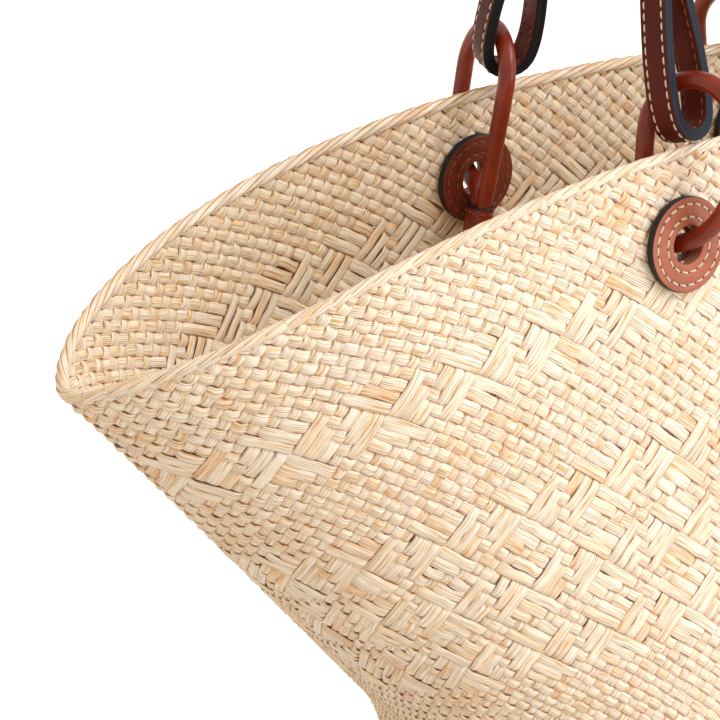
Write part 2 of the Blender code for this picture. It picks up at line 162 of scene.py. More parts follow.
def end_runs():
    """Side edge of the bag: slanting in from the corner, bending down, then the foot."""
    slant, foot = math.radians(END_SLANT_DEG), math.radians(END_FOOT_DEG)
    bend_drop = END_BEND_RADIUS * (math.sin(slant) - math.sin(foot))
    drop = RIM_HEIGHT - CORNER_DROOP - WALL / 2 - bend_drop - FOOT_RADIUS * (1 - math.sin(foot))
    return [(drop / math.cos(slant), -END_SLANT_DEG, -END_SLANT_DEG),
            arc_run(END_BEND_RADIUS, -END_SLANT_DEG, -END_FOOT_DEG),
            arc_run(FOOT_RADIUS, -END_FOOT_DEG, -90)]


SIDE_LENGTH = sum(run[0] for run in side_runs())
END_START = (RIM_HALF_LENGTH, RIM_HEIGHT - CORNER_DROOP)


def wall_place(shares, length_shares):
    """Middle surface of one wall at shares down it, for each share of the half length.

    X = E x, Y = M (1 - x^a)^(1/b), Z = top - (top - corner) x^d; a and b ease from the rim
    to the base.
    """
    side_out, side_up = profile((RIM_HALF_DEPTH, RIM_HEIGHT), side_runs(), shares)
    end_out, end_up = profile(END_START, end_runs(), shares)
    blend = ease(np.asarray(shares))[:, None]
    flatness = RIM_POWERS[0] + (BASE_POWERS[0] - RIM_POWERS[0]) * blend
    corner = RIM_POWERS[1] + (BASE_POWERS[1] - RIM_POWERS[1]) * blend
    x = np.abs(np.asarray(length_shares, dtype=float))[None, :]
    fullness = np.clip(1 - x ** flatness, 0, 1) ** (1 / corner)
    height = side_up[:, None] - (side_up - end_up)[:, None] * x ** DROOP_POWER
    return np.stack([end_out[:, None] * length_shares[None, :], side_out[:, None] * fullness,
                     height], -1)


def wall_grid():
    """Middle surface at every third of a crossing: rows down the wall, columns round it.

    Column 0 is the middle of the front wall and columns run to the right, seen from outside.
    A share u of a quarter round lies at u (1 + k (1 - u^2)) of its length, k growing downwards.
    """
    shares = np.linspace(0, 1, ROWS * STEPS + 1)
    dense = wall_place(shares, np.sin(np.linspace(0, math.pi / 2, 900)))
    even = np.linspace(0, 1, COLUMNS * STEPS // 4 + 1)
    crowding = CROWDING * ease((shares * ROWS - CROWDING_ROWS[0]) / CROWDING_ROWS[1])
    rows = []
    for places, crowd in zip(dense, crowding):
        along = lengths(places)
        quarter = points_at(even * (1 + crowd * (1 - even ** 2)) * along[-1], along, places)
        quarter[-1, 1] = 0
        rows.append(np.vstack([quarter * (1, -1, 1), quarter[-2::-1],
                               quarter[1:] * (-1, 1, 1), quarter[-2:0:-1] * (-1, -1, 1)]))
    return np.array(rows)


GRID = wall_grid()
ROUND_STEP = (np.roll(GRID, -1, axis=1) - np.roll(GRID, 1, axis=1)) * STEPS / 2
DOWN_STEP = np.gradient(GRID, axis=0) * STEPS
OUTWARDS = unit(np.cross(DOWN_STEP, ROUND_STEP))
OUTWARDS[-1] = (0, 0, -1)


def first_over(i, j):
    """True where strand j of the falling set lies over strand i of the rising set.

    Plain plait takes turns. A pinwheel is four triangles of floats round its middle, with the
    falling strands over in two opposite ones and the rising strands over in the others.
    """
    over = (i + j) % 2 == 1
    for row, first in PINWHEEL_ROWS:
        other = first - row
        turn = (i + j - (first + other - 1) + PINWHEEL_PITCH) // (2 * PINWHEEL_PITCH)
        a, b = i - first - PINWHEEL_PITCH * turn, j - other - PINWHEEL_PITCH * turn
        reach = np.where(a < 0, -1 - a, a) + np.where(b < 0, -1 - b, b)
        over = np.where(reach <= 3, (a < 0) != (b < 0), over)
    return over


def tube_quads(keep, count):
    """Sides and end caps of tubes of count points a ring, where paths x samples of keep say so."""
    index = np.arange(keep.size * count).reshape(keep.shape + (count,))
    joined = keep[:, :-1] & keep[:, 1:]
    here, after = index[:, :-1][joined], index[:, 1:][joined]
    sides = np.stack([here, np.roll(here, -1, axis=1), np.roll(after, -1, axis=1), after], axis=-1)
    starts = keep & ~np.pad(keep, ((0, 0), (1, 0)))[:, :-1]
    ends = keep & ~np.pad(keep, ((0, 0), (0, 1)))[:, 1:]
    caps = [rings[:, [k, k + 1, count - 2 - k, count - 1 - k][::turn]]
            for rings, turn in ((index[starts], -1), (index[ends], 1))
            for k in range(count // 2 - 1)]
    return sides.reshape(-1, 4), np.concatenate(caps)


def tube_mesh(centres, across, lift, section, keep=None):
    """Closed tubes, one per path: a ring of section points round each kept sample.

    A ring point is centre + s across + t lift for each (s, t) of the section. Runs of kept
    samples are joined and both their ends capped. Returns points, quads, corner UVs with u round
    the section and v in mm along the path, and the sample that each point belongs to.
    """
    keep = np.ones(centres.shape[:2], dtype=bool) if keep is None else keep
    points = (centres[:, :, None] + across[:, :, None] * section[:, 0, None]
              + lift[:, :, None] * section[:, 1, None])
    sides, caps = tube_quads(keep, len(section))
    joined = keep[:, :-1] & keep[:, 1:]
    along = lengths(centres) / MM
    legs = (np.roll(section, -1, axis=0) - section) * (STRAND_FLATNESS, 1)
    u = np.concatenate([[0], np.cumsum(np.linalg.norm(legs, axis=1))])
    u, here, after = u / u[-1], along[:, :-1][joined][:, None], along[:, 1:][joined][:, None]
    side_uv = np.stack([np.stack(np.broadcast_arrays(a, b), -1) for a, b in (
        (u[:-1], here), (u[1:], here), (u[1:], after), (u[:-1], after))], axis=2).reshape(-1, 2)
    used, quads = np.unique(np.concatenate([sides, caps]), return_inverse=True)
    corner_uv = np.concatenate([side_uv, np.full((caps.size, 2), 0.25)])
    return points.reshape(-1, 3)[used], quads.reshape(-1, 4), corner_uv, used // len(section)


def add_piece(name, body, node, slot, look, points, quads, corner_uv=None, **values):
    """One mesh piece that rides on a body, stands for a node and wears look; slot is not used."""
    mesh = bpy.data.meshes.new(name)
    mesh.vertices.add(len(points))
    mesh.vertices.foreach_set("co", np.ascontiguousarray(points, dtype=np.float32).ravel())
    mesh.loops.add(quads.size)
    mesh.loops.foreach_set("vertex_index", quads.astype(np.int32).ravel())
    mesh.polygons.add(len(quads))
    mesh.polygons.foreach_set("loop_start", np.arange(0, quads.size, 4, dtype=np.int32))
    mesh.update(calc_edges=True)
    mesh.shade_smooth()
    if corner_uv is not None:
        strip = mesh.uv_layers.new(name="strip")
        strip.data.foreach_set("uv", corner_uv.astype(np.float32).ravel())
    for label, data in values.items():
        attribute = mesh.attributes.new(label, "FLOAT", "POINT")
        attribute.data.foreach_set("value", data.astype(np.float32))
    mesh.materials.append(look)
    piece = bpy.data.objects.new(name, mesh)
    bpy.context.scene.collection.objects.link(piece)
    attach(piece, body)
    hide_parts(node)


def colour(code):
    """An sRGB hex colour as linear RGBA."""
    values = [int(code[k:k + 2], 16) / 255 for k in (1, 3, 5)]
    return tuple(v / 12.92 if v <= 0.04045 else ((v + 0.055) / 1.055) ** 2.4
                 for v in values) + (1,)


def plug(made, node, inputs):
    """Sets or links inputs of a node, given by name or in order."""
    for label, value in (inputs if isinstance(inputs, dict) else dict(enumerate(inputs))).items():
        if isinstance(value, bpy.types.NodeSocket):
            made.node_tree.links.new(value, node.inputs[label])
        else:
            node.inputs[label].default_value = value


def add_node(made, kind, inputs=(), out=0, stops=(), **settings):
    """Adds a node with its settings, colour stops and inputs, and gives one of its outputs."""
    node = made.node_tree.nodes.new("ShaderNode" + kind)
    for label, value in settings.items():
        setattr(node, label, value)
    for _ in stops[2:]:
        node.color_ramp.elements.new(0.5)
    for k, (place, code) in enumerate(stops):
        node.color_ramp.elements[k].position = place
        node.color_ramp.elements[k].color = colour(code)
    plug(made, node, inputs)
    return node.outputs[out]


def new_material(name, inputs):
    """A new material, its main shader with plain numbers on its own sockets, and its add_node."""
    made = bpy.data.materials.new(name)
    made.use_nodes = True
    shader = made.node_tree.nodes["Principled BSDF"]
    plug(made, shader, inputs)
    return made, shader, partial(add_node, made)


def palm_leaf(name):
    """Dried palm leaf split into fine fibres that lie side by side in each strand.

    Fibre n spans n to n + 1 of the distance round the strand. Each has its own tone, which drifts
    slowly along it, and the lines between fibres are cut to a depth that comes and goes. The
    edges of a strand and the stretches that dive under others are multiplied darker and browner:
    painted shade for the crevices between strands. The inner face of each strand is tinted a
    touch darker, painted shade for the inside of the bag.
    """
    made, shader, add = new_material(name, {"Roughness": 0.55, "Specular IOR Level": 0.35,
                                            "Sheen Weight": 0.1, "Sheen Roughness": 0.5})
    strip = add("UVMap", uv_map="strip")
    round_strand, along = add("SeparateXYZ", (strip,)).node.outputs[:2]
    seed = add("Attribute", out="Fac", attribute_name="strand")
    buried = add("Attribute", out="Fac", attribute_name="buried")
    apart = add("Math", (seed, 97.0), operation="MULTIPLY")

    def drifting(across, per_mm, detail=1.0):
        """A soft random value that changes along the strand, and from one across to the next."""
        far = add("Math", (along, per_mm), operation="MULTIPLY")
        place = add("CombineXYZ", (across, far, apart))
        return add("TexNoise", {"Vector": place, "Scale": 1.0, "Detail": detail})

    wander = add("Math", (drifting(0.5, 0.05), 1.6), operation="MULTIPLY")
    fibre = add("Math", (round_strand, FIBRES_ROUND, wander), operation="MULTIPLY_ADD")
    number = add("Math", (fibre,), operation="FLOOR")
    line = add("Math", (fibre,), operation="ROUND")
    tone = drifting(add("Math", (number, 3.7), operation="MULTIPLY"), 0.07, 2.0)
    from_line = add("Math", (fibre, line), operation="SUBTRACT")
    off_line = add("Math", (from_line,), operation="ABSOLUTE")
    line_drift = drifting(add("Math", (line, 5.3, 31.0), operation="MULTIPLY_ADD"), 0.06)
    depth = add("MapRange", (line_drift, 0.43, 0.62, 0.05, 1.0))
    near_line = add("MapRange", (off_line, 0.04, 0.19, 1.0, 0.0))
    groove = add("Math", (near_line, depth), operation="MULTIPLY")

    made_colour = add("ValToRGB", (tone,), stops=(
        (0.28, PALM_SHADE), (0.42, PALM_MID), (0.55, PALM_LIGHT)))
    blush = add("MapRange", (drifting(11.0, 0.021), 0.52, 0.72, 0.0, 0.6))
    line_share = add("Math", (groove, 0.9), operation="MULTIPLY")
    # Painted shade: stretches under other strands and the edges of each strand are multiplied
    # darker and browner, for the shade in the crevices between strands; the inner face is tinted a
    # touch darker, painted shade for the inside of the bag.
    inside = add("Math", (round_strand, 0.5), operation="GREATER_THAN")
    hidden = add("Math", (inside, buried), operation="SUBTRACT")
    hidden = add("Math", (hidden,), operation="ABSOLUTE")
    sunk = add("MapRange", (hidden, 0.42, 0.92, 0.0, 0.78))
    half_round = add("Math", (round_strand, 2.0), operation="MULTIPLY")
    half_round = add("Math", (half_round,), operation="FRACT")
    off_middle = add("Math", (half_round, 0.5), operation="SUBTRACT")
    off_middle = add("Math", (off_middle,), operation="ABSOLUTE")
    edge = add("MapRange", (off_middle, 0.4, 0.49, 0.0, 0.78))
    crevice_shade = add("Math", (sunk, edge), operation="MAXIMUM")
    for share, code, blend in (
            (blush, PALM_PINK, "MULTIPLY"), (line_share, PALM_LINE, "MIX"),
            (crevice_shade, PALM_CREVICE_SHADE, "MULTIPLY"), (inside, PALM_INSIDE_FACE_SHADE, "MULTIPLY")):
        made_colour = add("Mix", {0: share, 6: made_colour, 7: colour(code)}, out=2,
                          data_type="RGBA", blend_type=blend)

    swell = add("Math", (off_line, 0.9), operation="MULTIPLY")
    uneven = add("Math", (tone, 0.5), operation="MULTIPLY")
    cut = add("Math", (groove, -0.8, uneven), operation="MULTIPLY_ADD")
    height = add("Math", (swell, cut), operation="ADD")
    bump = add("Bump", {"Height": height, "Strength": 0.8, "Distance": 0.14 * MM})
    plug(made, shader, {"Base Color": made_colour, "Normal": bump})
    return made


def hole_place(wall, side):
    """Middle of one cord hole and the wall's outward normal there."""
    share = HOLE_DEPTH / SIDE_LENGTH
    half_length = profile(END_START, end_runs(), [share])[0][0]
    centre = wall_place([share], np.array([HOLE_HALF_SPACING / half_length]))[0, 0]
    lean = math.radians(SIDE_LEAN_DEG)
    return centre * (side, wall, 1), np.array([0, wall * math.cos(lean), math.sin(lean)])


def wall_holes(points):
    """True where a point lies in one of the four cord holes, seen square to the wall."""
    centre, normal = hole_place(1, 1)
    away = np.abs(points) - centre
    return np.hypot(away[..., 0], away @ (0, normal[2], -normal[1])) < HOLE_OPEN_RADIUS


def plaited_wall(rising, look):
    """One set of wall strands in four pieces.

    Strand n crosses row r at column 2 n + r (falling) or 2 n - r (rising), less one. Its middle
    line lies on the wall's middle surface, lifted outwards where it is over and inwards where it
    is under, easing between crossings.
    """
    count, sign = COLUMNS // 2, -1 if rising else 1
    rows, crossing = np.arange(2, ROWS * STEPS + 1), np.arange(ROWS + 2)[None, :]
    strand = np.arange(count)[:, None]
    state = (~first_over(strand, strand - crossing) if rising
             else first_over(strand + crossing, strand))
    columns = (2 * STEPS * strand + sign * rows[None, :] - STEPS) % (COLUMNS * STEPS)
    over, under, floated, *widths = RISING_FORM if rising else FALLING_FORM
    whole, swing = rows // STEPS, ease((rows % STEPS) / STEPS)

    def eased(values):
        return (values[:, whole] * (1 - swing) + values[:, whole + 1] * swing)[..., None]

    same = state[:, 1:] == state[:, :-1]
    floats = np.pad(same, ((0, 0), (0, 1))) | np.pad(same, ((0, 0), (1, 0)))
    sunk = eased(np.where(state, 0.0, 1.0))
    near_rim = (1 - ease((rows / STEPS - RIM_ROWS[0]) / RIM_ROWS[1]))[None, :, None]
    knob = near_rim * (1 - sunk)
    level = eased(np.where(state, np.where(floats, floated, over), under))
    level = level + (RIM_KNOB[0] - over) * knob
    flat = eased(np.where(floats, 1.0, 0.0))
    share = eased(np.where(state, np.where(floats, widths[2], widths[0]), widths[1]))
    row_grid = np.broadcast_to(rows[None, :], columns.shape)
    middle, normal = GRID[row_grid, columns], OUTWARDS[row_grid, columns]
    around, down = ROUND_STEP[row_grid, columns], DOWN_STEP[row_grid, columns]
    sideways = unit(np.cross(normal, unit(down + sign * around)))
    pitch = 2 * np.abs(np.sum(around * sideways, -1, keepdims=True))
    generator = np.random.default_rng(7 + rising)

    def uneven(spread):
        return eased(generator.normal(0, spread, (count, ROWS + 2)))

    share = share + SLOPE_SWELL * sunk * (1 - sunk) - RIM_SQUEEZE * near_rim * sunk
    share = share + (RIM_KNOB[1] - widths[0]) * knob + RIM_SPREAD * near_rim
    own_width = generator.uniform(1 - WIDTH_SPREAD, 1 + WIDTH_SPREAD, (count, 1, 1))
    width = pitch * share * (own_width + uneven(WIDTH_SPREAD))
    thickness = STRAND_THICKNESS * (1 + KNOB_SWELL * knob - FLOAT_THINNING * flat)
    lift = STRAND_LIFT * level * (1 + RIM_LIFT * near_rim + uneven(LIFT_SPREAD))
    middle = middle + normal * lift + sideways * uneven(SIDE_SPREAD)
    keep = ~wall_holes(middle)
    seed = np.broadcast_to(generator.random((count, 1)), columns.shape)
    name, quarter = "rising" if rising else "falling", count // 4
    for group in range(4):
        chosen = slice(group * quarter, (group + 1) * quarter)
        points, quads, corner_uv, owner = tube_mesh(
            middle[chosen], (sideways * width / 2)[chosen], (normal * thickness / 2)[chosen],
            STRAND_SECTION, keep[chosen])
        # buried carries how far each stretch lies under the other set, for the painted crevice
        # shade.
        add_piece(f"wall_strands_{name}_{group + 1}", "basket", "basket_body", "plaited_straw",
                  look, points, quads, corner_uv, strand=seed[chosen].ravel()[owner],
                  buried=sunk[chosen].ravel()[owner])


# Matt straw cream with golden fibre lines, brown painted shade in its crevices and a faint painted
# shade on the inner faces.
palm_look = palm_leaf("dried_palm_leaf")
plaited_wall(False, palm_look)
plaited_wall(True, palm_look)

# ------------------------------------------------------------------ Rim braid
# The strand ends are turned over the edge of the mouth and laid in a long slanting braid, so the
# edge shows thin parallel strands that climb from the first row of knobs and roll over to the
# inside, round a hidden core.

BRAID_STRANDS = 160
BRAID_ADVANCE = 10       # columns that one strand travels from the outside to the inside
BRAID_SAMPLES = 27
BRAID_HALF_WIDTH = 1.55 * MM
BRAID_DEPTH = 3.4 * MM
BRAID_STRAND_WIDTH = 2.7 * MM
BRAID_STRAND_THICKNESS = 1.15 * MM
BRAID_TOP = 0.8 * MM
BRAID_ROLL_DEG = 13      # each strand lies a little on its neighbour
TUCK_SHARE = 0.14        # end part of a strand that dives under the first row of knobs
TUCK_DEPTH = 1 * MM
CORE_HALF_WIDTH = 0.6 * MM
CORE_HALF_HEIGHT = 2.8 * MM
CORE_DEPTH = 3.8 * MM
CORE_SIDES = 10


def circle(count, start=0.0):
    """Cosines and sines of even turns round a circle, the first at a share of one step."""
    turns = (np.arange(count) + start) * 2 * math.pi / count
    return np.cos(turns), np.sin(turns)


def band_quads(rings, count):
    """Quads between rings of points, with the last ring joined to the first."""
    index = np.arange(rings * count).reshape(rings, count)
    after = np.roll(index, -1, axis=0)
    return np.stack([index, after, np.roll(after, -1, axis=1), np.roll(index, -1, axis=1)],
                    axis=-1).reshape(-1, 4)


def rim_frame(columns):
    """Edge line, outward direction and downward direction at fractional columns round the mouth."""
    down = unit(DOWN_STEP[2])
    out = unit(np.cross(down, unit(ROUND_STEP[0])))
    places, wanted = np.arange(GRID.shape[1] + 1), np.mod(columns * STEPS, GRID.shape[1])
    return [points_at(wanted, places, np.vstack([source, source[:1]]))
            for source in (GRID[0], out, down)]


def braid_section(share):
    """Path over the edge: up the outside, half round the top, down the inside.

    Gives how far out and how deep under the edge it lies, and its angle over the top.
    """
    straight = BRAID_DEPTH - BRAID_TOP - BRAID_HALF_WIDTH
    total = 2 * straight + math.pi * BRAID_HALF_WIDTH
    along = share * total
    rise, turn = np.clip(along, 0, straight), np.clip(along - straight, 0, total - 2 * straight)
    fall = np.clip(along - total + straight, 0, straight)
    angle = turn / BRAID_HALF_WIDTH
    depth = BRAID_DEPTH - rise - BRAID_HALF_WIDTH * np.sin(angle) + fall
    return BRAID_HALF_WIDTH * np.cos(angle), depth, angle


def rim_strands(look):
    """Slanting strands rolled over the edge, each a tube along its own path round the section."""
    share = np.linspace(0, 1, BRAID_SAMPLES)
    start = np.arange(BRAID_STRANDS)[:, None] * COLUMNS / BRAID_STRANDS
    edge, outward, down = rim_frame(start + BRAID_ADVANCE * (share[None, :] - 0.5))
    out, depth, angle = (part[None, :, None] for part in braid_section(share))
    tuck = 1 - ease(np.minimum(share, 1 - share) / TUCK_SHARE)[None, :, None]
    normal = unit(outward * np.cos(angle) - down * np.sin(angle))
    centres = edge + outward * out + down * depth - normal * tuck * TUCK_DEPTH
    sideways = unit(np.cross(normal, unit(np.gradient(centres, axis=1))))
    generator = np.random.default_rng(21)
    width = BRAID_STRAND_WIDTH * generator.uniform(0.85, 1.12, (BRAID_STRANDS, 1, 1))
    width = width * (1 - 0.35 * tuck)
    roll = math.radians(BRAID_ROLL_DEG)
    across = sideways * math.cos(roll) + normal * math.sin(roll)
    lift = normal * math.cos(roll) - sideways * math.sin(roll)
    points, quads, corner_uv, owner = tube_mesh(
        centres, across * width / 2, lift * BRAID_STRAND_THICKNESS / 2, STRAND_SECTION)
    tone = np.repeat(generator.random(BRAID_STRANDS), BRAID_SAMPLES)
    add_piece("rim_braid_strands", "basket", "rim_braid", "braided_straw_edge", look,
              points, quads, corner_uv, strand=tone[owner])


def rim_core(look):
    """Plain band inside the braid, closed round the mouth."""
    edge, outward, down = (part[:, None] for part in rim_frame(np.arange(0, COLUMNS, 0.5)))
    cosine, sine = (part[None, :, None] for part in circle(CORE_SIDES))
    points = (edge + outward * CORE_HALF_WIDTH * cosine
              + down * (CORE_DEPTH - CORE_HALF_HEIGHT * sine))
    quads = band_quads(*points.shape[:2])[:, [0, 3, 2, 1]]
    add_piece("rim_braid_core", "basket", "rim_braid", "braided_straw_edge", look,
              points.reshape(-1, 3), quads, np.zeros((quads.size, 2)),
              strand=np.full(len(quads), 0.3))


rim_strands(palm_look)
rim_core(palm_look)

# ------------------------------------------------------------------- Base mat
# The bottom is a flat mat of the same strands, plaited plain and crosswise. A two ply cord is
# twined round it where the wall strands come in, which hides their ends.

MAT_PITCH = 4.4 * MM
MAT_TURN_DEG = 42
MAT_LINES = 34           # strands on either side of the middle one
MAT_REACH = 42           # crossings from a strand's middle to its ends
MAT_LIFT = 0.7 * MM
MAT_HALF_WIDTH = 0.47 * MAT_PITCH
MAT_HALF_THICKNESS = 0.62 * MM
MAT_INSET = 0.2 * MM
CORD_PLY_TURN = 9 * MM
EDGE_CORD_RADIUS = 0.95 * MM
PLY_SWING_OUT = 1 * MM
PLY_SWING_UP = 0.5 * MM
PLY_SIDES = 10


def mat_strands(name, heading_deg, phase, look):
    """Flat plaited strands clipped to the last ring of the wall.

    A strand is a straight line; it is lifted at every second crossing of the other set, which
    mirrors it, and dropped at the ones between.
    """
    cosine, sine = math.cos(math.radians(heading_deg)), math.sin(math.radians(heading_deg))
    heading, across, other = (np.array(pair) for pair in (
        (cosine, sine), (-sine, cosine), (sine, cosine)))
    step = MAT_PITCH / abs(heading @ other)
    lines = np.arange(-MAT_LINES, MAT_LINES + 1)
    samples = np.arange(-MAT_REACH * STEPS, MAT_REACH * STEPS + 1)
    start = lines[:, None] * MAT_PITCH * across
    slip = (start @ other) / (heading @ other)
    places = start[:, None] + heading * (samples[None, :, None] * step / STEPS
                                         - slip[:, None, None])
    level = np.cos(math.pi * (samples[None, :] / STEPS + lines[:, None] + phase))
    edge = GRID[-1]
    limit = np.interp(np.arctan2(places[..., 1], places[..., 0]),
                      np.arctan2(edge[:, 1], edge[:, 0]), np.hypot(edge[:, 0], edge[:, 1]),
                      period=2 * math.pi)
    keep = np.hypot(places[..., 0], places[..., 1]) < limit - MAT_INSET
    inner = keep.any(axis=1)
    centres = np.dstack([places, WALL / 2 + MAT_LIFT * level])[inner]
    sideways = np.broadcast_to(np.append(-across, 0) * MAT_HALF_WIDTH, centres.shape)
    downwards = np.broadcast_to(np.array([0, 0, -MAT_HALF_THICKNESS]), centres.shape)
    points, quads, corner_uv, owner = tube_mesh(centres, sideways, downwards, STRAND_SECTION,
                                                keep[inner])
    tone = np.repeat(np.random.default_rng(31 + phase).random(inner.sum()), len(samples))
    # buried carries how far each stretch lies under the other set, for the painted crevice shade.
    add_piece(name, "basket", "basket_body", "plaited_straw", look, points, quads, corner_uv,
              strand=tone[owner], buried=((1 + level) / 2)[inner].ravel()[owner])


def twined_edge(look):
    """Two plies twisted round the line of the last ring: each is a tube along a long helix."""
    line = GRID[-1][::2]
    ahead = np.roll(line, -1, axis=0)
    turns = round(np.linalg.norm(ahead - line, axis=1).sum() / CORD_PLY_TURN)
    out, up = np.cross(unit(ahead - np.roll(line, 1, axis=0)), (0, 0, 1)), np.array([0, 0, 1.0])
    cosine, sine = (part[None, :, None] for part in circle(PLY_SIDES))
    corner = np.stack(np.meshgrid(np.linspace(0.1, 0.4, PLY_SIDES), np.arange(len(line)) * 1.3), -1)
    for ply in (0, 1):
        angle = (2 * math.pi * turns * np.arange(len(line)) / len(line) + math.pi * ply)[:, None]
        centre = line + np.cos(angle) * out * PLY_SWING_OUT + np.sin(angle) * up * PLY_SWING_UP
        points = centre[:, None] + EDGE_CORD_RADIUS * (cosine * out[:, None] + sine * up)
        add_piece(f"base_edge_ply_{ply + 1}", "basket", "basket_body", "plaited_straw", look,
                  points.reshape(-1, 3), band_quads(len(line), PLY_SIDES),
                  np.repeat(corner.reshape(-1, 2), 4, axis=0),
                  strand=np.full(len(line) * PLY_SIDES, 0.35 + 0.2 * ply))


mat_strands("base_mat_rising", MAT_TURN_DEG, 0, palm_look)
mat_strands("base_mat_falling", -MAT_TURN_DEG, 1, palm_look)
twined_edge(palm_look)

# -------------------------------------------------------------------- Washers
# A pair of stamped leather discs clamps the wall at each cord hole, one outside and one inside.
# Smooth tan hide with a painted edge, sewn through with two rings of thick thread.

WASHER_RADIUS = 16.4 * MM
WASHER_HOLE_RADIUS = 6.6 * MM
WASHER_THICKNESS = 2.8 * MM
WASHER_EDGE = 0.55 * MM
WASHER_SIDES = 84
FACE_SAMPLES = 30        # across the face, from one rounded edge to the other
COLLAR_WALL = 0.5 * MM
STITCH_ROWS = ((13.8 * MM, 23), (9.4 * MM, 16))   # radius and number of stitches
STITCH_SINK = 0.22 * MM
CHANNEL_WIDTH = 0.75 * MM
WASHER_STITCH = (3.3 * MM, 0.78 * MM, 0.42 * MM)  # length, width and height over the leather
STITCH_SLANT = 0.14
STITCH_SIDES = 6
CLEARANCE = 0.3 * MM
WALLS = {"front": -1, "back": 1}
SIDES = {"left": -1, "right": 1}
HOLES = [(f"{wall_name}_{side_name}", wall, side)
         for wall_name, wall in WALLS.items() for side_name, side in SIDES.items()]

TAN_LIGHT = "#B36A51"
TAN_DARK = "#98503B"
INNER_TAN = "#843A26"
INNER_TAN_DARK = "#5E2416"
PAINT = "#101114"
THREAD = "#F6F0E4"
# Painted shade in the grooves between the plies of the cream thread.
THREAD_SHADE = "#CDC1AC"
# Painted shadow at the needle holes.
NEEDLE_HOLE_SHADOW = "#3A1610"
RED_THREAD = "#A2543C"


def hide(name, light, dark, edge_paint, grain_mm=0.9, roughness=0.42, shine=0.36):
    """Finished leather: fine pebbled grain, soft cloudy colour and a painted edge."""
    made, shader, add = new_material(name, {"Specular IOR Level": shine, "Coat Weight": 0.04,
                                            "Coat Roughness": 0.25})
    place = add("TexCoord", out="Object")
    cloud = add("TexNoise", {"Vector": place, "Scale": 0.09 / MM, "Detail": 4.0,
                             "Roughness": 0.6})
    cells = add("TexVoronoi", {"Vector": place, "Scale": 1 / (grain_mm * MM)},
                feature="SMOOTH_F1")
    pores = add("TexNoise", {"Vector": place, "Scale": 1.9 / MM, "Detail": 3.0})
    body = add("ValToRGB", (cloud,), stops=((0.2, dark), (0.64, light)))
    # Colour goes a little darker towards the hollows of the pebbled grain, where the bump sinks.
    grain_hollow_share = add("MapRange", (cells, 0.0, 0.75, 0.0, 0.14))
    grain_hollow_toned = add("Mix", {0: grain_hollow_share, 6: body, 7: colour(dark)}, out=2, data_type="RGBA")
    paint = add("Attribute", out="Fac", attribute_name="paint")
    painted = add("MapRange", (paint, 0.45, 0.6, 0.0, 1.0))
    finish = add("Mix", {0: painted, 6: grain_hollow_toned, 7: colour(edge_paint)}, out=2, data_type="RGBA")
    grain = add("Math", (cells, -0.7, pores), operation="MULTIPLY_ADD")
    rough = add("MapRange", (grain, -0.2, 0.7, roughness - 0.04, roughness + 0.06))
    rough = add("Math", (painted, 0.08, rough), operation="MULTIPLY_ADD")
    bump = add("Bump", {"Height": grain, "Strength": 0.22, "Distance": 0.12 * MM})
    plug(made, shader, {"Base Color": finish, "Roughness": rough, "Normal": bump})
    return made


def waxed_thread(name, light, shade):
    """Thick waxed sewing thread: twisted plies, slightly shiny."""
    made, shader, add = new_material(name, {"Roughness": 0.5, "Sheen Weight": 0.2})
    strip = add("UVMap", uv_map="strip")
    round_thread, along = add("SeparateXYZ", (strip,)).node.outputs[:2]
    slant = add("Math", (along, 1.6, round_thread), operation="MULTIPLY_ADD")
    turn = add("Math", (slant, 4 * math.pi), operation="MULTIPLY")
    twist = add("Math", (turn,), operation="SINE")
    # Painted shade: the colour follows the twist, light on the crest of each ply and the shade
    # colour in the grooves between plies.
    plies_with_painted_shade = add("ValToRGB", (twist,), stops=((0.0, shade), (0.55, light)))
    bump = add("Bump", {"Height": twist, "Strength": 0.4, "Distance": 0.12 * MM})
    plug(made, shader, {"Base Color": plies_with_painted_shade, "Normal": bump})
    return made


def stitch_mesh(centres, headings, normals, length, width, height):
    """Stitches: each a short tube bowed over the leather, thick in the middle, ends sunk in.

    Along the stitch, s from -1 to 1, its line rises by height (1 - s^2) less 0.35 width, and its
    radius is width / 2 times (1 - 0.5 s^4).
    """
    s = np.linspace(-1, 1, 6)[None, :, None]
    sideways, normals = np.cross(normals, headings)[:, None], normals[:, None]
    line = (centres[:, None] + headings[:, None] * s * length / 2
            + normals * (height * (1 - s ** 2) - 0.35 * width))
    radius = width / 2 * (1 - 0.5 * s ** 4)
    return tube_mesh(line, sideways * radius, normals * radius,
                     np.stack(circle(STITCH_SIDES), axis=1))


def needle_hole_shadow_drops(centres, headings, normals, length):
    """Painted needle hole shadows: flat dark drops from 0.4 to 0.6 stitch lengths both ways."""
    reach = np.array([0.4, 0.5, 0.6])[None, :, None] * length
    size = np.array([0.6, 1, 0.5])[None, :, None] * MM
    sideways = np.cross(normals, headings)
    centres, headings, normals, sideways = (
        np.vstack([part, flip * part])[:, None] for part, flip in (
            (centres, 1), (headings, -1), (normals, 1), (sideways, -1)))
    return tube_mesh(centres + headings * reach, sideways * size * 0.36, normals * size * 0.07,
                     np.stack(circle(STITCH_SIDES), axis=1))[:2]


def spokes(normal, count, start=0.0):
    """Directions outwards and onwards at even turns round a line along normal."""
    cosine, sine = (part[:, None] for part in circle(count, start))
    across = np.array([1.0, 0, 0])
    other = np.cross(normal, across)
    return cosine * across + sine * other, cosine * other - sine * across


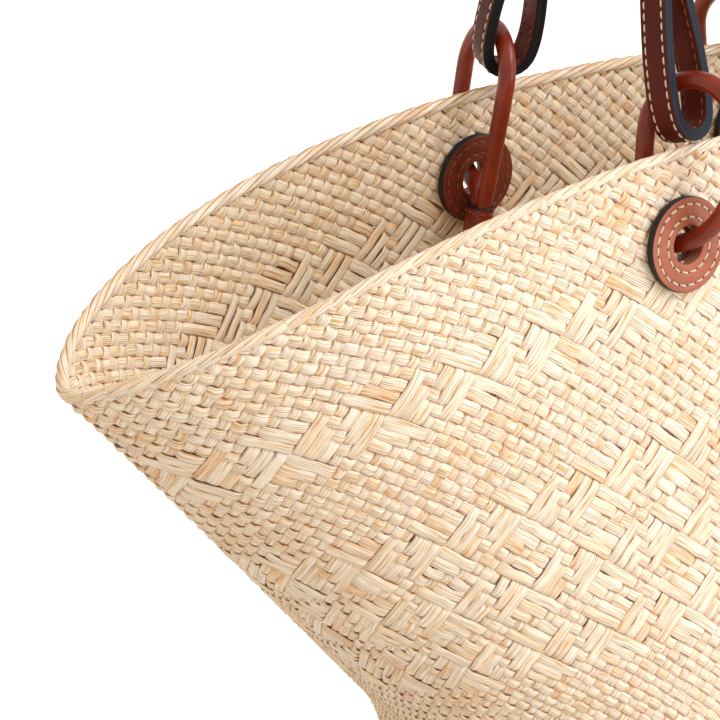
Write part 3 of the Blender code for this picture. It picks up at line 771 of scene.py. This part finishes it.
def washer_outline():
    """Section of a disc: flat back with a collar that lines the hole, quarter round edges, and two
    shallow sewn channels in the face. Gives (radius, height) points and the paint on each."""
    edge, face, hole = WASHER_EDGE, WASHER_THICKNESS, WASHER_HOLE_RADIUS
    bend = np.linspace(0, math.pi / 2, 5)
    from_side, from_top = 1 - np.cos(bend), 1 - np.sin(bend)
    outer_low = np.stack([WASHER_RADIUS - edge / 2 * from_side, edge / 2 * from_top], 1)[::-1]
    outer_top = np.stack([WASHER_RADIUS - edge * from_side, face - edge * from_top], 1)
    radii = np.linspace(WASHER_RADIUS - edge, hole + edge, FACE_SAMPLES)[1:-1]
    sink = sum(np.exp(-((radii - row) / CHANNEL_WIDTH) ** 2) for row, _ in STITCH_ROWS)
    top = np.stack([radii, face - STITCH_SINK * sink], 1)
    inner_top = np.stack([hole + edge * from_side, face - edge * from_top], 1)[::-1]
    collar = WALL / 2 + CLEARANCE - 0.1 * MM
    inner_low = [(hole, -collar), (hole + COLLAR_WALL, -collar), (hole + COLLAR_WALL, 0)]
    paint = np.concatenate([np.ones(5), (1, 1, 0.9, 0.3, 0), np.zeros(len(top) + 8)])
    return np.vstack([outer_low, outer_top, top, inner_top, inner_low]), paint


# Satin tan and redder brown hides, their edges sealed with dull near black paint.
tan_look = hide("washer_tan_hide", TAN_LIGHT, TAN_DARK, PAINT)
inner_tan_look = hide("washer_dark_hide", INNER_TAN, INNER_TAN_DARK, PAINT)
# Bright cream thread stands out from the hide, red thread nearly goes under in it. The second
# colour of each is painted shade in the grooves between its plies.
thread_look = waxed_thread("waxed_cream_thread", THREAD, THREAD_SHADE)
red_thread_look = waxed_thread("waxed_red_thread", RED_THREAD, INNER_TAN_DARK)
# Matt dark red brown painted shadows at the needle holes, so each stitch seems to dive into the
# leather.
needle_shadow_look = new_material("needle_hole_shadow", {
    "Base Color": colour(NEEDLE_HOLE_SHADOW), "Roughness": 0.9, "Specular IOR Level": 0.1})[0]

outline, paint = washer_outline()
for hole, wall, side in HOLES:
    for face_name, face, leather, thread in (("outer", 1, tan_look, thread_look),
                                             ("inner", -1, inner_tan_look, red_thread_look)):
        node = f"washer_{hole}_{face_name}"
        centre, normal = hole_place(wall, side)
        normal = face * normal
        seat = centre + (WALL / 2 + CLEARANCE) * normal
        spoke = spokes(normal, WASHER_SIDES)[0][:, None]
        points = seat + spoke * outline[None, :, :1] + normal * outline[None, :, 1:]
        add_piece(f"{node}_disc", "basket", node, "washer_leather", leather,
                  points.reshape(-1, 3), band_quads(WASHER_SIDES, len(outline)),
                  paint=np.tile(paint, WASHER_SIDES))
        middles, headings = [], []
        for radius, count in STITCH_ROWS:
            spoke, along = spokes(normal, count, 0.5)
            middles.append(seat + spoke * radius + normal * (WASHER_THICKNESS - STITCH_SINK))
            headings.append(unit(along + STITCH_SLANT * spoke))
        middles, headings = np.vstack(middles), np.vstack(headings)
        normals = np.broadcast_to(normal, middles.shape)
        points, quads, corner_uv, _ = stitch_mesh(middles, headings, normals, *WASHER_STITCH)
        add_piece(f"{node}_stitches", "basket", node, None, thread, points, quads, corner_uv)
        if face == 1:
            points, quads = needle_hole_shadow_drops(middles, headings, normals, WASHER_STITCH[0])
            add_piece(f"{node}_needle_hole_shadow_drops", "basket", node, None, needle_shadow_look, points, quads)

# --------------------------------------------------------------- Rolled cords
# Each ring is a cord of leather rolled round a core and glued along one seam, led out through
# the washers, up over the rim and back down inside. Glossy red brown hide, wrinkled where it
# bends into the hole.

CORD_RADIUS = 3.15 * MM
CORD_END_RADIUS = 2.6 * MM
CORD_END_GAP = 0.4 * MM
ARCH_RADIUS = 18 * MM
ARCH_RISE = 37 * MM
HOLE_SLOPE_DEG = 16
RING_YAW_DEG = 15
RING_TILT_DEG = 8.5
HOLE_BEND_SHARE = 0.52
LEG_BEND_SHARE = 0.4
SLEEVE_WALL = 1 * MM
SLEEVE_DROP = 8 * MM
SLEEVE_GRIP = 12 * MM
SLEEVE_STANDOFF = 1 * MM
CORD_SIDES = 36
CORD_STEP = 1 * MM
SEAM_TURN_DEG = 58
SEAM_WANDER = 0.25       # how far the seam wanders round the cord, in radians
SEAM_WAVE = 30 * MM
SEAM_DEPTH = 0.09        # of the radius
SEAM_HALF_TURN = 0.11
CREASE_MIDDLE = 44 * MM  # along the cord from its end at the wall
CREASE_REACH = 26 * MM
CREASE_DEPTH = 0.014
CREASES = ((0.95 * MM, 1, 0), (1.7 * MM, 0.7, 1.3))   # wave, strength and shift of each ripple
CORD_LIGHT = "#8C3218"
CORD_DARK = "#66190A"


def resample(points, step):
    """The same polyline with even steps of about the given length."""
    along = lengths(points)
    places = np.linspace(0, along[-1], max(2, round(along[-1] / step)) + 1)
    return points_at(places, along, points)


def sleeve_places():
    """How far inwards the two cord ends lie in the sleeve."""
    washer_face = WALL / 2 + CLEARANCE + WASHER_THICKNESS
    first = washer_face + SLEEVE_STANDOFF + SLEEVE_WALL + CLEARANCE + CORD_END_RADIUS
    return first, first + 2 * CORD_END_RADIUS + CORD_END_GAP


def bend(start, end, start_heading, end_heading, reach_share):
    """Cubic from start to end that leaves and arrives along the given headings."""
    start, end = np.array(start), np.array(end)
    reach = reach_share * np.linalg.norm(end - start)
    share = np.linspace(0, 1, 40)[:, None]
    first, second = start + reach * np.array(start_heading), end - reach * np.array(end_heading)
    return ((1 - share) ** 3 * start + 3 * share * (1 - share) ** 2 * first
            + 3 * share ** 2 * (1 - share) * second + share ** 3 * end)


def ring_route():
    """Middle line in the ring's plane (inwards, up): out of the sleeve, out through the hole, up,
    over in a half circle and down to the sleeve."""
    slope = math.radians(HOLE_SLOPE_DEG)
    first, second = sleeve_places()
    end, lip = -SLEEVE_DROP - SLEEVE_GRIP, -SLEEVE_DROP
    outer_radius = ARCH_RADIUS / (1 - math.sin(slope))
    turn = np.linspace(slope, math.pi / 2, 40)
    outer = np.stack([-outer_radius * (np.sin(turn) - math.sin(slope)),
                      outer_radius * (math.cos(slope) - np.cos(turn))], axis=1)
    over = np.linspace(math.pi, 0, 80)
    arch = np.stack([ARCH_RADIUS * np.cos(over), ARCH_RISE + ARCH_RADIUS * np.sin(over)], axis=1)
    into_hole = bend((first, lip), (0, 0), (0, 1), (-math.cos(slope), math.sin(slope)),
                     HOLE_BEND_SHARE)
    down = bend((ARCH_RADIUS, ARCH_RISE), (second, lip), (0, -1), (0, -1), LEG_BEND_SHARE)
    return resample(np.vstack([[(first, end)], into_hole, outer[1:], arch, down[1:],
                               [(second, end)]]), CORD_STEP)


def ring_place(wall, side, local):
    """World places of points in a ring's own directions: inwards, towards the bag's end, up."""
    tilt, yaw = math.tan(math.radians(RING_TILT_DEG)), math.radians(RING_YAW_DEG)
    plane = np.array([[0, side, 0], [-wall, 0, 0], [0, 0, 1]])
    swivel = np.array([[math.cos(yaw), -math.sin(yaw), 0], [math.sin(yaw), math.cos(yaw), 0],
                       [0, 0, 1]])
    lean = np.array([[1, 0, 0], [0, 1, -tilt], [0, 0, 1]]) / (1, 1, math.hypot(1, tilt))
    return local @ (plane @ swivel @ lean).T + hole_place(wall, side)[0]


def rolled_cord(wall, side):
    """Tube along the ring route with a seam groove and fine cross wrinkles.

    Radius = r (1 - groove - ripple): the groove is a narrow bell round the seam's turn, and the
    ripple two sines along the cord, which fade out away from the bend into the hole and towards
    the side that is stretched there.
    """
    route = ring_route()
    along = lengths(route)
    from_end = np.minimum(along, along[-1] - along)
    grow = np.clip((from_end - SLEEVE_GRIP) / (2 * CORD_RADIUS), 0, 1)
    radii = CORD_END_RADIUS + (CORD_RADIUS - CORD_END_RADIUS) * grow
    turns = np.arange(CORD_SIDES) * 2 * math.pi / CORD_SIDES
    seam = math.radians(SEAM_TURN_DEG) + SEAM_WANDER * np.sin(along / SEAM_WAVE)
    gap = np.abs((turns[None, :] - seam[:, None] + math.pi) % (2 * math.pi) - math.pi)
    groove = SEAM_DEPTH * np.exp(-(gap / SEAM_HALF_TURN) ** 2)
    ripple = sum(strength * np.sin(along / wave + shift) for wave, strength, shift in CREASES)
    ripple = ripple * ease(1 - np.abs(along - CREASE_MIDDLE) / CREASE_REACH)
    ripple = CREASE_DEPTH * ripple[:, None] * (1 - np.cos(turns)) / 2
    spread = radii[:, None] * (1 - groove - ripple)
    aside = unit(np.gradient(route, axis=0))[:, ::-1] * (1, -1)
    in_plane = route[:, None] + (spread * np.cos(turns))[..., None] * aside[:, None]
    return ring_place(wall, side, np.stack(
        [in_plane[..., 0], spread * np.sin(turns), in_plane[..., 1]], -1))


def outward_quads(points, quads):
    """The same quads, all turned over if the closed shape they bound has a negative volume."""
    flat = points.reshape(-1, 3) - points.reshape(-1, 3).mean(axis=0)
    a, b, c, d = (flat[quads[:, k]] for k in range(4))
    volume = np.einsum("ij,ij->", a, np.cross(b, c)) + np.einsum("ij,ij->", a, np.cross(c, d))
    return quads if volume > 0 else quads[:, ::-1]


def closed_tube(points):
    """Flat points and outward quads of one capped tube, from its rings of points."""
    rings, count = points.shape[:2]
    quads = np.concatenate(tube_quads(np.ones((1, rings), dtype=bool), count))
    return points.reshape(-1, 3), outward_quads(points, quads)


# Dark red brown hide with a clear gloss on its folds.
cord_look = hide("rolled_glossy_hide", CORD_LIGHT, CORD_DARK, PAINT, grain_mm=0.7, roughness=0.3)
for hole, wall, side in HOLES:
    points, quads = closed_tube(rolled_cord(wall, side))
    add_piece(f"rolled_cord_{hole}", f"ring_{hole}", f"ring_cord_{hole}", "cord_leather",
              cord_look, points, quads, paint=np.zeros(len(points)))

# -------------------------------------------------------------------- Sleeves
# A flat leather pocket holds both ends of each cord inside the bag: two layers sewn all round,
# with the raw top edge painted dark and a row of thread just under it.

SLEEVE_SIDES = 56
SLEEVE_LENGTH = 22 * MM
SLEEVE_FLOOR = 2 * MM
POCKET_INNER = CORD_END_RADIUS + CLEARANCE
POCKET_OUTER = POCKET_INNER + SLEEVE_WALL
POCKET_TOP = -SLEEVE_DROP
POCKET_FLOOR = POCKET_TOP - SLEEVE_GRIP - CLEARANCE
POCKET_BASE = min(POCKET_TOP - SLEEVE_LENGTH, POCKET_FLOOR - SLEEVE_FLOOR)
POCKET_PITCH = 3.6 * MM
POCKET_STITCH = (2.5 * MM, 0.75 * MM, 0.4 * MM)
POCKET_SEWN = (POCKET_TOP - 2.3 * MM, POCKET_BASE + 2.6 * MM)   # heights of the rows of thread


def pocket_ring(radius, height):
    """Closed round ended outline across the sleeve at one height: (inwards, sideways, up)."""
    first, second = sleeve_places()
    cosine, sine = circle(SLEEVE_SIDES)
    middle = np.where(cosine >= 0, second, first)
    return np.stack([middle + radius * cosine, radius * sine, np.full(SLEEVE_SIDES, height)], -1)


def leather_pocket(wall, side):
    """Pocket as one skin: up the outside, over a rounded lip, down the inside to its floor."""
    inner, outer, lip = POCKET_INNER, POCKET_OUTER, SLEEVE_WALL / 2
    rows = [(outer - 1.1 * MM, POCKET_BASE, 1), (outer - 0.4 * MM, POCKET_BASE + 0.15 * MM, 1),
            (outer, POCKET_BASE + 0.7 * MM, 0.9), (outer, POCKET_BASE + 1.1 * MM, 0)]
    rows += [(outer, POCKET_BASE + (POCKET_TOP - lip - POCKET_BASE) * share, 0)
             for share in np.linspace(0.1, 0.93, 10)]
    rows += [(outer, POCKET_TOP - 0.9 * MM, 0.2), (outer, POCKET_TOP - 0.7 * MM, 1)]
    rows += [(inner + lip + lip * math.cos(turn), POCKET_TOP - lip + lip * math.sin(turn), 1)
             for turn in np.linspace(0, math.pi, 7)]
    rows += [(inner, POCKET_TOP - 2 * MM, 0.3), (inner, POCKET_FLOOR + 1 * MM, 0),
             (inner - 0.8 * MM, POCKET_FLOOR, 0)]
    local = np.array([pocket_ring(radius, height) for radius, height, _ in rows])
    return ring_place(wall, side, local), np.repeat([row[2] for row in rows], SLEEVE_SIDES)


def pocket_stitches(wall, side):
    """A row of stitches round the pocket under its lip and one above its foot."""
    ring = pocket_ring(POCKET_OUTER, 0)
    ring = np.vstack([ring, ring[:1]])
    along = lengths(ring)
    count = round(along[-1] / POCKET_PITCH)
    places = (np.arange(count) + 0.5) * along[-1] / count
    middle = points_at(places, along, ring)
    heading = unit(points_at(places + 0.5 * MM, along, ring) - middle)
    out = np.cross(heading, (0, 0, 1))
    centres = np.vstack([middle + (0, 0, height) for height in POCKET_SEWN])
    world = ring_place(wall, side, centres)
    headings, normals = (unit(ring_place(wall, side, centres + np.vstack([part] * 2)) - world)
                         for part in (heading, out))
    return stitch_mesh(world, headings, normals, *POCKET_STITCH)


for hole, wall, side in HOLES:
    points, paint = leather_pocket(wall, side)
    add_piece(f"cord_pocket_{hole}", f"ring_{hole}", f"ring_sleeve_{hole}", "cord_leather",
              cord_look, *closed_tube(points), paint=paint)
    points, quads, corner_uv, _ = pocket_stitches(wall, side)
    add_piece(f"cord_pocket_stitches_{hole}", f"ring_{hole}", f"ring_sleeve_{hole}", None,
              red_thread_look, points, outward_quads(points, quads), corner_uv)

# -------------------------------------------------------------------- Handles
# Each handle is one strap of dark face leather on a lining strap, sewn together along both edges
# and painted on the edge. It loops through its two rings and is sewn back on itself.

STRAP_WIDTH = 10.6 * MM
FACE_LEATHER = 1.95 * MM
LINING_LEATHER = 1.95 * MM
STRAP_THICKNESS = LINING_LEATHER + CLEARANCE + FACE_LEATHER
LOOP_HALF_WIDTH = 7.2 * MM
LOOP_HEIGHT = 62 * MM
LOOP_INSET = 7 * MM
LOOP_AXIS = HOLE_HALF_SPACING - LOOP_INSET
LOOP_PLAY = 1.8 * MM
LOOP_OFFSET = 5.6 * MM
LOOP_YAW_DEG = 12
LOOP_UNTWIST = 60 * MM
TAIL_LENGTH = 34 * MM
HANDLE_REACH = 172 * MM
HANDLE_SHOULDER = 100 * MM
# Half width and height of the loop's inner line, as shares of its half width and height.
LOOP_SHARES = ((0.68, 0.032), (0.95, 0.115), (1, 0.25),
               (0.86, 0.45), (0.52, 0.69), (0.17, 0.88), (0, 1))
BRAID_SEAT_HALF = 1.1 * MM   # where the strap rests, from the middle line of the rim
STRAP_STEP = 1.7 * MM
STRAP_EDGE = 0.5 * MM
STRAP_CROWN = 0.1 * MM
STRAP_CHANNEL = 0.16 * MM
STRAP_CHANNEL_WIDTH = 0.6 * MM
STRAP_BEVEL = 0.1 * MM
STRAP_FACE_SAMPLES = 19
STITCH_PITCH = 3.8 * MM
STITCH_INSET = 1.75 * MM
STRAP_STITCH = (2.9 * MM, 0.66 * MM, 0.36 * MM)
STRAP_STITCH_SINK = 0.05 * MM
STRAP_DARK = "#3E1006"
STRAP_LIGHT = "#5C1B0B"
LINING_DARK = "#48150A"
LINING_LIGHT = "#642212"
EDGE_PAINTS = {"front": "#1F2634", "back": "#1B1A1E"}


def pivot_place(wall):
    """A point on the handle's hinge line through the middles of both ring arches."""
    return ring_place(wall, 1, np.array([0, 0, ARCH_RISE])) * (0, 1, 1)


def handle_lean():
    """Lean at which the two handles meet over the middle of the mouth."""
    reach, across = HANDLE_REACH + STRAP_THICKNESS, LOOP_OFFSET + STRAP_WIDTH / 2
    distance = abs(pivot_place(1)[1]) - CLEARANCE
    return math.asin(distance / math.hypot(reach, across)) - math.atan2(across, reach)


def loop_bottom(wall):
    """Height of the loop's inner surface over the pivot: the front one rests on the rim, the back
    one is drawn up under the ring arch."""
    if wall == WALLS["back"]:
        underside = ARCH_RADIUS - CORD_RADIUS / math.cos(math.pi / 8)   # an eight sided cord
        return math.sqrt(underside ** 2 - (LOOP_OFFSET + STRAP_WIDTH / 2) ** 2) - LOOP_PLAY
    rim = wall_place([0.0], np.array([LOOP_AXIS / RIM_HALF_LENGTH]))[0, 0]
    pivot, lean = pivot_place(wall), handle_lean()
    inward = abs(pivot[1]) - rim[1] + BRAID_SEAT_HALF
    seat = (rim[2] + CLEARANCE - pivot[2] + inward * math.tan(lean)) * math.cos(lean)
    return seat + STRAP_THICKNESS


def smooth_curve(points):
    """Catmull-Rom curve through the points, with its first and last legs held straight."""
    points = np.asarray(points, dtype=float)
    padded = np.vstack([2 * points[0] - points[1], points, 2 * points[-1] - points[-2]])
    share = np.linspace(0, 1, 40, endpoint=False)[:, None]
    parts = [0.5 * (2 * b + (c - a) * share + (2 * a - 5 * b + 4 * c - d) * share ** 2
                    + (3 * b - a - 3 * c + d) * share ** 3)
             for a, b, c, d in zip(padded, padded[1:], padded[2:], padded[3:])]
    return np.vstack(parts + [points[-1:]])


def handle_route(wall):
    """Inner surface line of the handle from tail end to tail end, as (X, up) points."""
    seam, bottom = CLEARANCE / 2, loop_bottom(wall)
    inner = [(LOOP_HALF_WIDTH * width + seam, bottom + LOOP_HEIGHT * up)
             for width, up in LOOP_SHARES]
    tail_top = (seam, bottom + LOOP_HEIGHT + TAIL_LENGTH)
    loop = smooth_curve([tail_top] + inner[::-1] + [(0, bottom)]
                        + [(-width, up) for width, up in inner])
    over = np.linspace(math.pi, math.pi / 2, 80)
    rise = HANDLE_REACH - HANDLE_SHOULDER
    arch = np.stack([(LOOP_AXIS + seam) * np.cos(over), HANDLE_SHOULDER + rise * np.sin(over)],
                    axis=1)
    half = resample(np.vstack([loop - (LOOP_AXIS, 0), arch]), STRAP_STEP)
    return np.vstack([half, half[-2::-1] * (-1, 1)])


def strap_place(wall, offsets, widths):
    """Strap points at offsets outwards from the inner line and widths across it.

    Near each loop the strap is turned about the loop's upright axis, easing out above it.
    """
    route = handle_route(wall)
    outward = unit(np.gradient(route, axis=0))[:, ::-1] * (-1, 1)
    axis = (np.where(route[:, 0] < 0, -1, 1) * LOOP_AXIS)[:, None]
    settle = ease((route[:, 1] - loop_bottom(wall) - LOOP_HEIGHT) / LOOP_UNTWIST)
    yaw = (math.radians(LOOP_YAW_DEG) * (1 - settle))[:, None] * -np.sign(axis)
    lean = handle_lean()
    up = np.array([0, -wall * math.sin(lean), math.cos(lean)])
    inwards = np.array([0, -wall * math.cos(lean), -math.sin(lean)])
    flat = route[:, None] + offsets[None, :, None] * outward[:, None]
    beside = flat[..., 0] - axis
    x = axis + beside * np.cos(yaw) - widths * np.sin(yaw)
    depth = LOOP_OFFSET + beside * np.sin(yaw) + widths * np.cos(yaw)
    return (x[..., None] * np.array([1.0, 0, 0]) + depth[..., None] * inwards
            + flat[..., 1:] * up + pivot_place(wall))


def strap_section(low, high):
    """Rounded strap section between two offsets, as offset, width and paint arrays.

    The outer face has quarter round edges, a low crown and a sunk channel for each row of
    stitches; the face against the other strap is flat.
    """
    half, edge, bevel = STRAP_WIDTH / 2, STRAP_EDGE, STRAP_BEVEL
    face, back, way = (low, high, 1) if low == 0 else (high, low, -1)
    bend = np.linspace(0, math.pi / 2, 5)
    widths = np.linspace(half - edge, edge - half, STRAP_FACE_SAMPLES)[1:-1]
    channel = STRAP_CHANNEL * sum(np.exp(-((widths - row) / STRAP_CHANNEL_WIDTH) ** 2)
                                  for row in (half - STITCH_INSET, STITCH_INSET - half))
    crown = STRAP_CROWN * (1 - (widths / half) ** 2)
    flat = [back, back - way * bevel]
    offsets = np.concatenate([
        flat, face + way * edge * (1 - np.sin(bend)), face + way * (channel - crown),
        face + way * edge * (1 - np.cos(bend)), flat[::-1]])
    across = np.concatenate([
        [half - bevel, half], half - edge * (1 - np.cos(bend)), widths,
        edge * (1 - np.sin(bend)) - half, [-half, bevel - half]])
    painted = (1, 1, 1, 1, 0.9, 0.25, 0)
    return offsets, across, np.concatenate([painted, np.zeros(len(widths)), painted[::-1]])


def strap_stitches(wall, offset, way):
    """Stitches along both edges of one strap face, laid lengthways on its surface."""
    half = STRAP_WIDTH / 2 - STITCH_INSET
    surface, below = (strap_place(wall, np.full(2, level), np.array([-half, half]))
                      for level in (offset, offset - way * 0.5 * MM))
    stitches = []
    for k in (0, 1):
        along = lengths(surface[:, k])
        count = int((along[-1] - 3 * MM) / STITCH_PITCH)
        places = along[-1] / 2 + (np.arange(count) - (count - 1) / 2) * STITCH_PITCH
        here, ahead = (points_at(places + step, along, surface[:, k]) for step in (0, 0.6 * MM))
        under = points_at(places, along, below[:, k])
        stitches.append((here, unit(ahead - here), unit(here - under)))
    return stitch_mesh(*(np.vstack(part) for part in zip(*stitches)), *STRAP_STITCH)


for wall_name, wall in WALLS.items():
    # Very dark red brown hides, duller than the cords, with blue black or black edge paint.
    face_look = hide(f"dark_strap_hide_{wall_name}", STRAP_LIGHT, STRAP_DARK,
                     EDGE_PAINTS[wall_name], grain_mm=0.8, roughness=0.46, shine=0.16)
    lining_look = hide(f"strap_lining_hide_{wall_name}", LINING_LIGHT, LINING_DARK,
                       EDGE_PAINTS[wall_name], grain_mm=0.8, roughness=0.5, shine=0.16)
    seam = LINING_LEATHER + CLEARANCE / 2
    for label, low, high, look, slot, thread in (
            ("lining", 0, seam, lining_look, "lining_leather", red_thread_look),
            ("strap", seam, STRAP_THICKNESS, face_look, "strap_leather", thread_look)):
        node, body = f"handle_{label}_{wall_name}", f"handle_{wall_name}"
        offsets, across, paint = strap_section(low, high)
        points = strap_place(wall, offsets, across)
        add_piece(f"{node}_leather", body, node, slot, look, *closed_tube(points),
                  paint=np.tile(paint, len(points)))
        way = -1 if low == 0 else 1
        surface = (low if low == 0 else high) - way * STRAP_STITCH_SINK
        points, quads, corner_uv, _ = strap_stitches(wall, surface, way)
        add_piece(f"{node}_stitches", body, node, None, thread, points,
                  outward_quads(points, quads), corner_uv)

# ------------------------------------------------- Floor, light and camera
# A plain pale sheet under the bag, a broad soft lamp in front and above, a weaker low one that
# grazes the end of the bag, and the close view from the front left and a little above.

FLOOR_COLOUR = "#D2D0CD"
FLOOR_GLOW = 0.72
FLOOR_REACH = 6
ROOM_COLOUR = "#FFEBCE"
ROOM_STRENGTH = 0.88
WHITE = (1, 1, 1, 1)
LAMP_TARGET = (0, 0, 0.15)
VIEW_AZIMUTH = math.radians(-36.88)
VIEW_ELEVATION = math.radians(18.28)
EYE = np.array([-733.55, -764.14, 504.41]) * MM
FRAME_PIXELS = 720
FOCAL_PIXELS = 2989


def backdrop_share(made):
    """1 where floor or sky is seen itself, straight or in a shine, and 0 where it only lights."""
    rays = add_node(made, "LightPath").node.outputs
    seen = add_node(made, "Math", (rays["Is Camera Ray"], rays["Is Glossy Ray"]),
                    operation="MAXIMUM")
    return add_node(made, "Math", (seen, rays["Is Transmission Ray"]), operation="MAXIMUM")


def put(name, data, place, back):
    """Adds a lamp or camera at place that looks the other way from back, upright."""
    back = unit(np.array(back))
    right = unit(np.cross((0, 0, 1), back))
    matrix = np.eye(4)
    matrix[:3] = np.stack([right, np.cross(back, right), back, place], axis=1)
    thing = bpy.data.objects.new(name, data)
    thing.matrix_world = Matrix(matrix.tolist())
    bpy.context.scene.collection.objects.link(thing)
    return thing


# Matt pale paper that glows a little to the eye, so it looks evenly bright behind the bag.
floor_look, floor_shader, _ = new_material("pale_paper", {
    "Roughness": 0.9, "Specular IOR Level": 0.1, "Base Color": colour(FLOOR_COLOUR),
    "Emission Color": WHITE})
glow = add_node(floor_look, "Math", (backdrop_share(floor_look), FLOOR_GLOW),
                operation="MULTIPLY")
plug(floor_look, floor_shader, {"Emission Strength": glow})
floor_mesh = bpy.data.meshes.new("paper_floor")
floor_mesh.from_pydata([(x * FLOOR_REACH, y * FLOOR_REACH, 0) for x, y in (
    (-1, -1), (1, -1), (1, 1), (-1, 1))], [], [(0, 1, 2, 3)])
floor_mesh.materials.append(floor_look)
paper_floor = bpy.data.objects.new("paper_floor", floor_mesh)
bpy.context.scene.collection.objects.link(paper_floor)

# The room is warm where it lights the bag and white where it is seen.
sky = bpy.data.worlds.new("soft_sky")
bpy.context.scene.world = sky
sky.use_nodes = True
seen = backdrop_share(sky)
plug(sky, sky.node_tree.nodes["Background"], {
    "Color": add_node(sky, "Mix", {0: seen, 6: colour(ROOM_COLOUR), 7: WHITE}, out=2,
                      data_type="RGBA"),
    "Strength": add_node(sky, "MapRange", (seen, 0.0, 1.0, ROOM_STRENGTH, 1.0))})

for name, place, width, height, power in (("window_lamp", (1.0, -1.5, 1.9), 1.4, 1.1, 32),
                                          ("low_lamp", (1.1, -1.8, 0.5), 0.9, 0.7, 8)):
    light = bpy.data.lights.new(name, "AREA")
    light.shape, light.size, light.size_y, light.energy = "RECTANGLE", width, height, power
    put(name, light, place, np.subtract(place, LAMP_TARGET))

view = bpy.data.cameras.new("close_view")
view.sensor_width = 36
view.lens = FOCAL_PIXELS / FRAME_PIXELS * view.sensor_width
view.clip_start, view.clip_end = 0.05, 30
bpy.context.scene.camera = put("close_view", view, EYE, (
    math.sin(VIEW_AZIMUTH) * math.cos(VIEW_ELEVATION),
    -math.cos(VIEW_AZIMUTH) * math.cos(VIEW_ELEVATION), math.sin(VIEW_ELEVATION)))
bpy.context.scene.view_settings.view_transform = "Standard"
